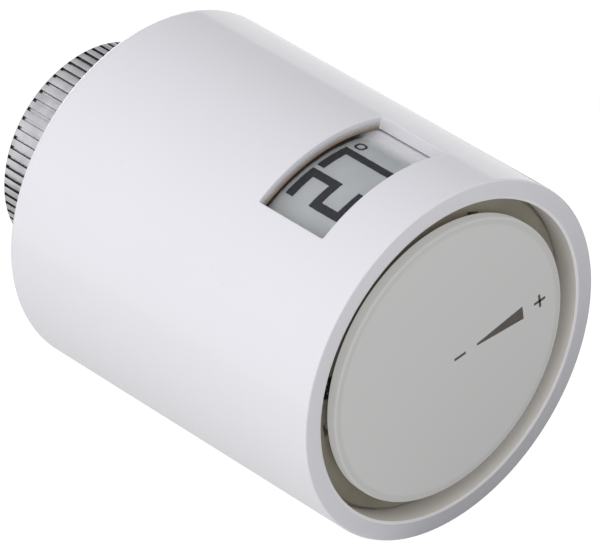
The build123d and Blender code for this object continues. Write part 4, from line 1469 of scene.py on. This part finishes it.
@dataclass
class InnerWorks:
    """Pieces whose CAD shape is right: rear end, chassis, drive and face, each with its finish."""

    def build(self) -> None:
        """Finishes the nodes."""
        dress(BLACK_NYLON, "mounting_neck", "chassis", "motor_end_cap")
        dress(NATURAL_NYLON, "turn_ring", "gearbox_base", "gearbox_cover", "display_carrier", "guide_ring")
        dress(ACETAL, "gear_one", "gear_two", "output_gear", "thrust_washer", "disc_carrier")
        dress(SPRING, "nut_retaining_ring", "turn_ring_circlip", "centring_spring")
        dress(STEEL, "cap_screws", "chassis_screws", "gearbox_screws", "gear_axles", "motor_shaft")
        dress(BRASS, "plunger_tip", "motor_pinion", "motor_terminals")
        dress(MOTOR_STEEL, "motor_can", "motor_armature", "plunger")
        dress(RUBBER, "motor_damper")
        dress(MAGNET, "setting_magnet")
        dress(OLIVE, "front_cap")
        dress(DISC_BACK, "face_disc_backing")


# ---- studio --------------------------------------------------------------------------------------
@dataclass(frozen=True)
class Softbox:
    """One square soft light."""

    name: str
    place: Triple
    size: float
    power: float

    def build(self, target: Vector) -> None:
        """Hangs the light.

        Args:
            target: Where it points.
        """
        light = bpy.data.lights.new(self.name, "AREA")
        light.shape = "SQUARE"
        light.size = self.size
        light.energy = self.power
        lamp = bpy.data.objects.new(self.name, light)
        bpy.context.scene.collection.objects.link(lamp)
        lamp.location = self.place
        lamp.rotation_euler = (target - Vector(self.place)).to_track_quat("-Z", "Y").to_euler()
        log.info("%s hung", self.name)


@dataclass(frozen=True)
class Sheet:
    """One round sheet on the ground that weakens or strengthens the light from there."""

    name: str
    radius: float
    place: Point
    lift: float
    tone: float
    glow: float = 0.0
    seen: bool = False
    mottle: float = 0.0
    gloss: float = 0.0

    def build(self) -> None:
        """Lays the sheet."""
        form = bmesh.new()
        bmesh.ops.create_circle(form, cap_ends=True, segments=96, radius=self.radius)
        bmesh.ops.translate(form, verts=form.verts[:], vec=(*self.place, cad_box[0][2] - 0.0002 + self.lift))
        data = bpy.data.meshes.new(self.name)
        form.to_mesh(data)
        form.free()
        recipe = Recipe(self.name)
        recipe.put(Roughness=0.9, Specular_IOR_Level=self.gloss, Emission_Color=(1, 1, 1, 1))
        recipe.put(Emission_Strength=self.glow)
        recipe.feed(recipe.mottled((self.tone,) * 3, self.mottle, 300.0, 2.0), "Base Color")
        data.materials.append(recipe.material)
        sheet = bpy.data.objects.new(self.name, data)
        sheet.visible_camera = self.seen
        bpy.context.scene.collection.objects.link(sheet)
        log.info("%s laid", self.name)


@dataclass
class Studio:
    """A pale floor under the head, cards on it, a soft sky, a softbox and the camera."""

    sky_toward: Triple = (-0.85, -0.1, 0.5)
    sky_dark: Triple = (0.30, 0.30, 0.30)
    sky_middle: Triple = (0.75, 0.75, 0.765)
    sky_bright: Triple = (1.15, 1.15, 1.19)
    azimuth: float = -37.870
    elevation: float = 39.387
    roll: float = -8.415
    aim: Triple = (-0.009655, -0.059922, 0.012086)
    distance: float = 0.9932
    lens: float = 408.4
    softboxes: tuple[Softbox, ...] = (Softbox("left_softbox", (-0.55, -0.05, 0.45), 0.5, 0.6),)
    sheets: tuple[Sheet, ...] = (
        Sheet("floor", 3.0, (0.0, 0.0), 0.0, 0.06, 1.0, seen=True, mottle=0.05, gloss=0.05),
        Sheet("grey_card", 0.130, (-0.050, -0.045), 0.00005, 0.05, 0.66),
        Sheet("dark_card", 0.074, (0.058, -0.095), 0.0001, 0.03),
        Sheet("bright_card", 0.09, (0.10, 0.23), 0.0001, 0.8, 3.0),
    )

    def sky(self) -> None:
        """Makes the sky: bright on one side, dark on the other."""
        world = bpy.data.worlds.new("soft_sky")
        world.use_nodes = True
        nodes, links = world.node_tree.nodes, world.node_tree.links
        where = nodes.new("ShaderNodeTexCoord")
        side = nodes.new("ShaderNodeVectorMath")
        side.operation = "DOT_PRODUCT"
        side.inputs[1].default_value = Vector(self.sky_toward).normalized()
        span = nodes.new("ShaderNodeMapRange")
        span.inputs["From Min"].default_value = -1.0
        ramp = nodes.new("ShaderNodeValToRGB")
        elements = ramp.color_ramp.elements
        elements[0].color, elements[1].color = (*self.sky_dark, 1.0), (*self.sky_bright, 1.0)
        elements.new(0.5).color = (*self.sky_middle, 1.0)
        links.new(where.outputs["Generated"], side.inputs[0])
        links.new(side.outputs["Value"], span.inputs["Value"])
        links.new(span.outputs["Result"], ramp.inputs["Fac"])
        links.new(ramp.outputs["Color"], nodes["Background"].inputs["Color"])
        bpy.context.scene.world = world

    def camera(self) -> None:
        """Sets the camera."""
        azimuth, elevation, roll = (math.radians(turn) for turn in (self.azimuth, self.elevation, self.roll))
        flat = math.cos(elevation)
        back = Vector((math.sin(azimuth) * flat, -math.cos(azimuth) * flat, math.sin(elevation)))
        level = Vector((math.cos(azimuth), math.sin(azimuth), 0.0))
        upright = level.cross(-back)
        right = math.cos(roll) * level + math.sin(roll) * upright
        up = math.cos(roll) * upright - math.sin(roll) * level
        data = bpy.data.cameras.new("camera")
        data.lens = self.lens
        data.sensor_width = 36.0
        data.clip_start = 0.01
        camera = bpy.data.objects.new("camera", data)
        bpy.context.scene.collection.objects.link(camera)
        turn = Matrix((right, up, back)).transposed().to_4x4()
        camera.matrix_world = Matrix.Translation(Vector(self.aim) + back * self.distance) @ turn
        bpy.context.scene.camera = camera

    def build(self) -> None:
        """Sets up the ground, the sky, the lights and the camera."""
        for sheet in self.sheets:
            sheet.build()
        self.sky()
        for softbox in self.softboxes:
            softbox.build(Vector(self.aim))
        bpy.context.scene.view_settings.view_transform = "Standard"
        self.camera()


def main() -> None:
    """Builds the sub-assemblies in order."""
    logging.basicConfig(level=logging.INFO, format="%(message)s")
    kinds = (SettingSleeve, Display, SettingFace, UnionNut, InnerWorks, PowerPack, Electronics, Studio)
    for kind in kinds:
        log.info("-- %s", kind.__name__)
        kind().build()


if __name__ == "__main__":
    main()
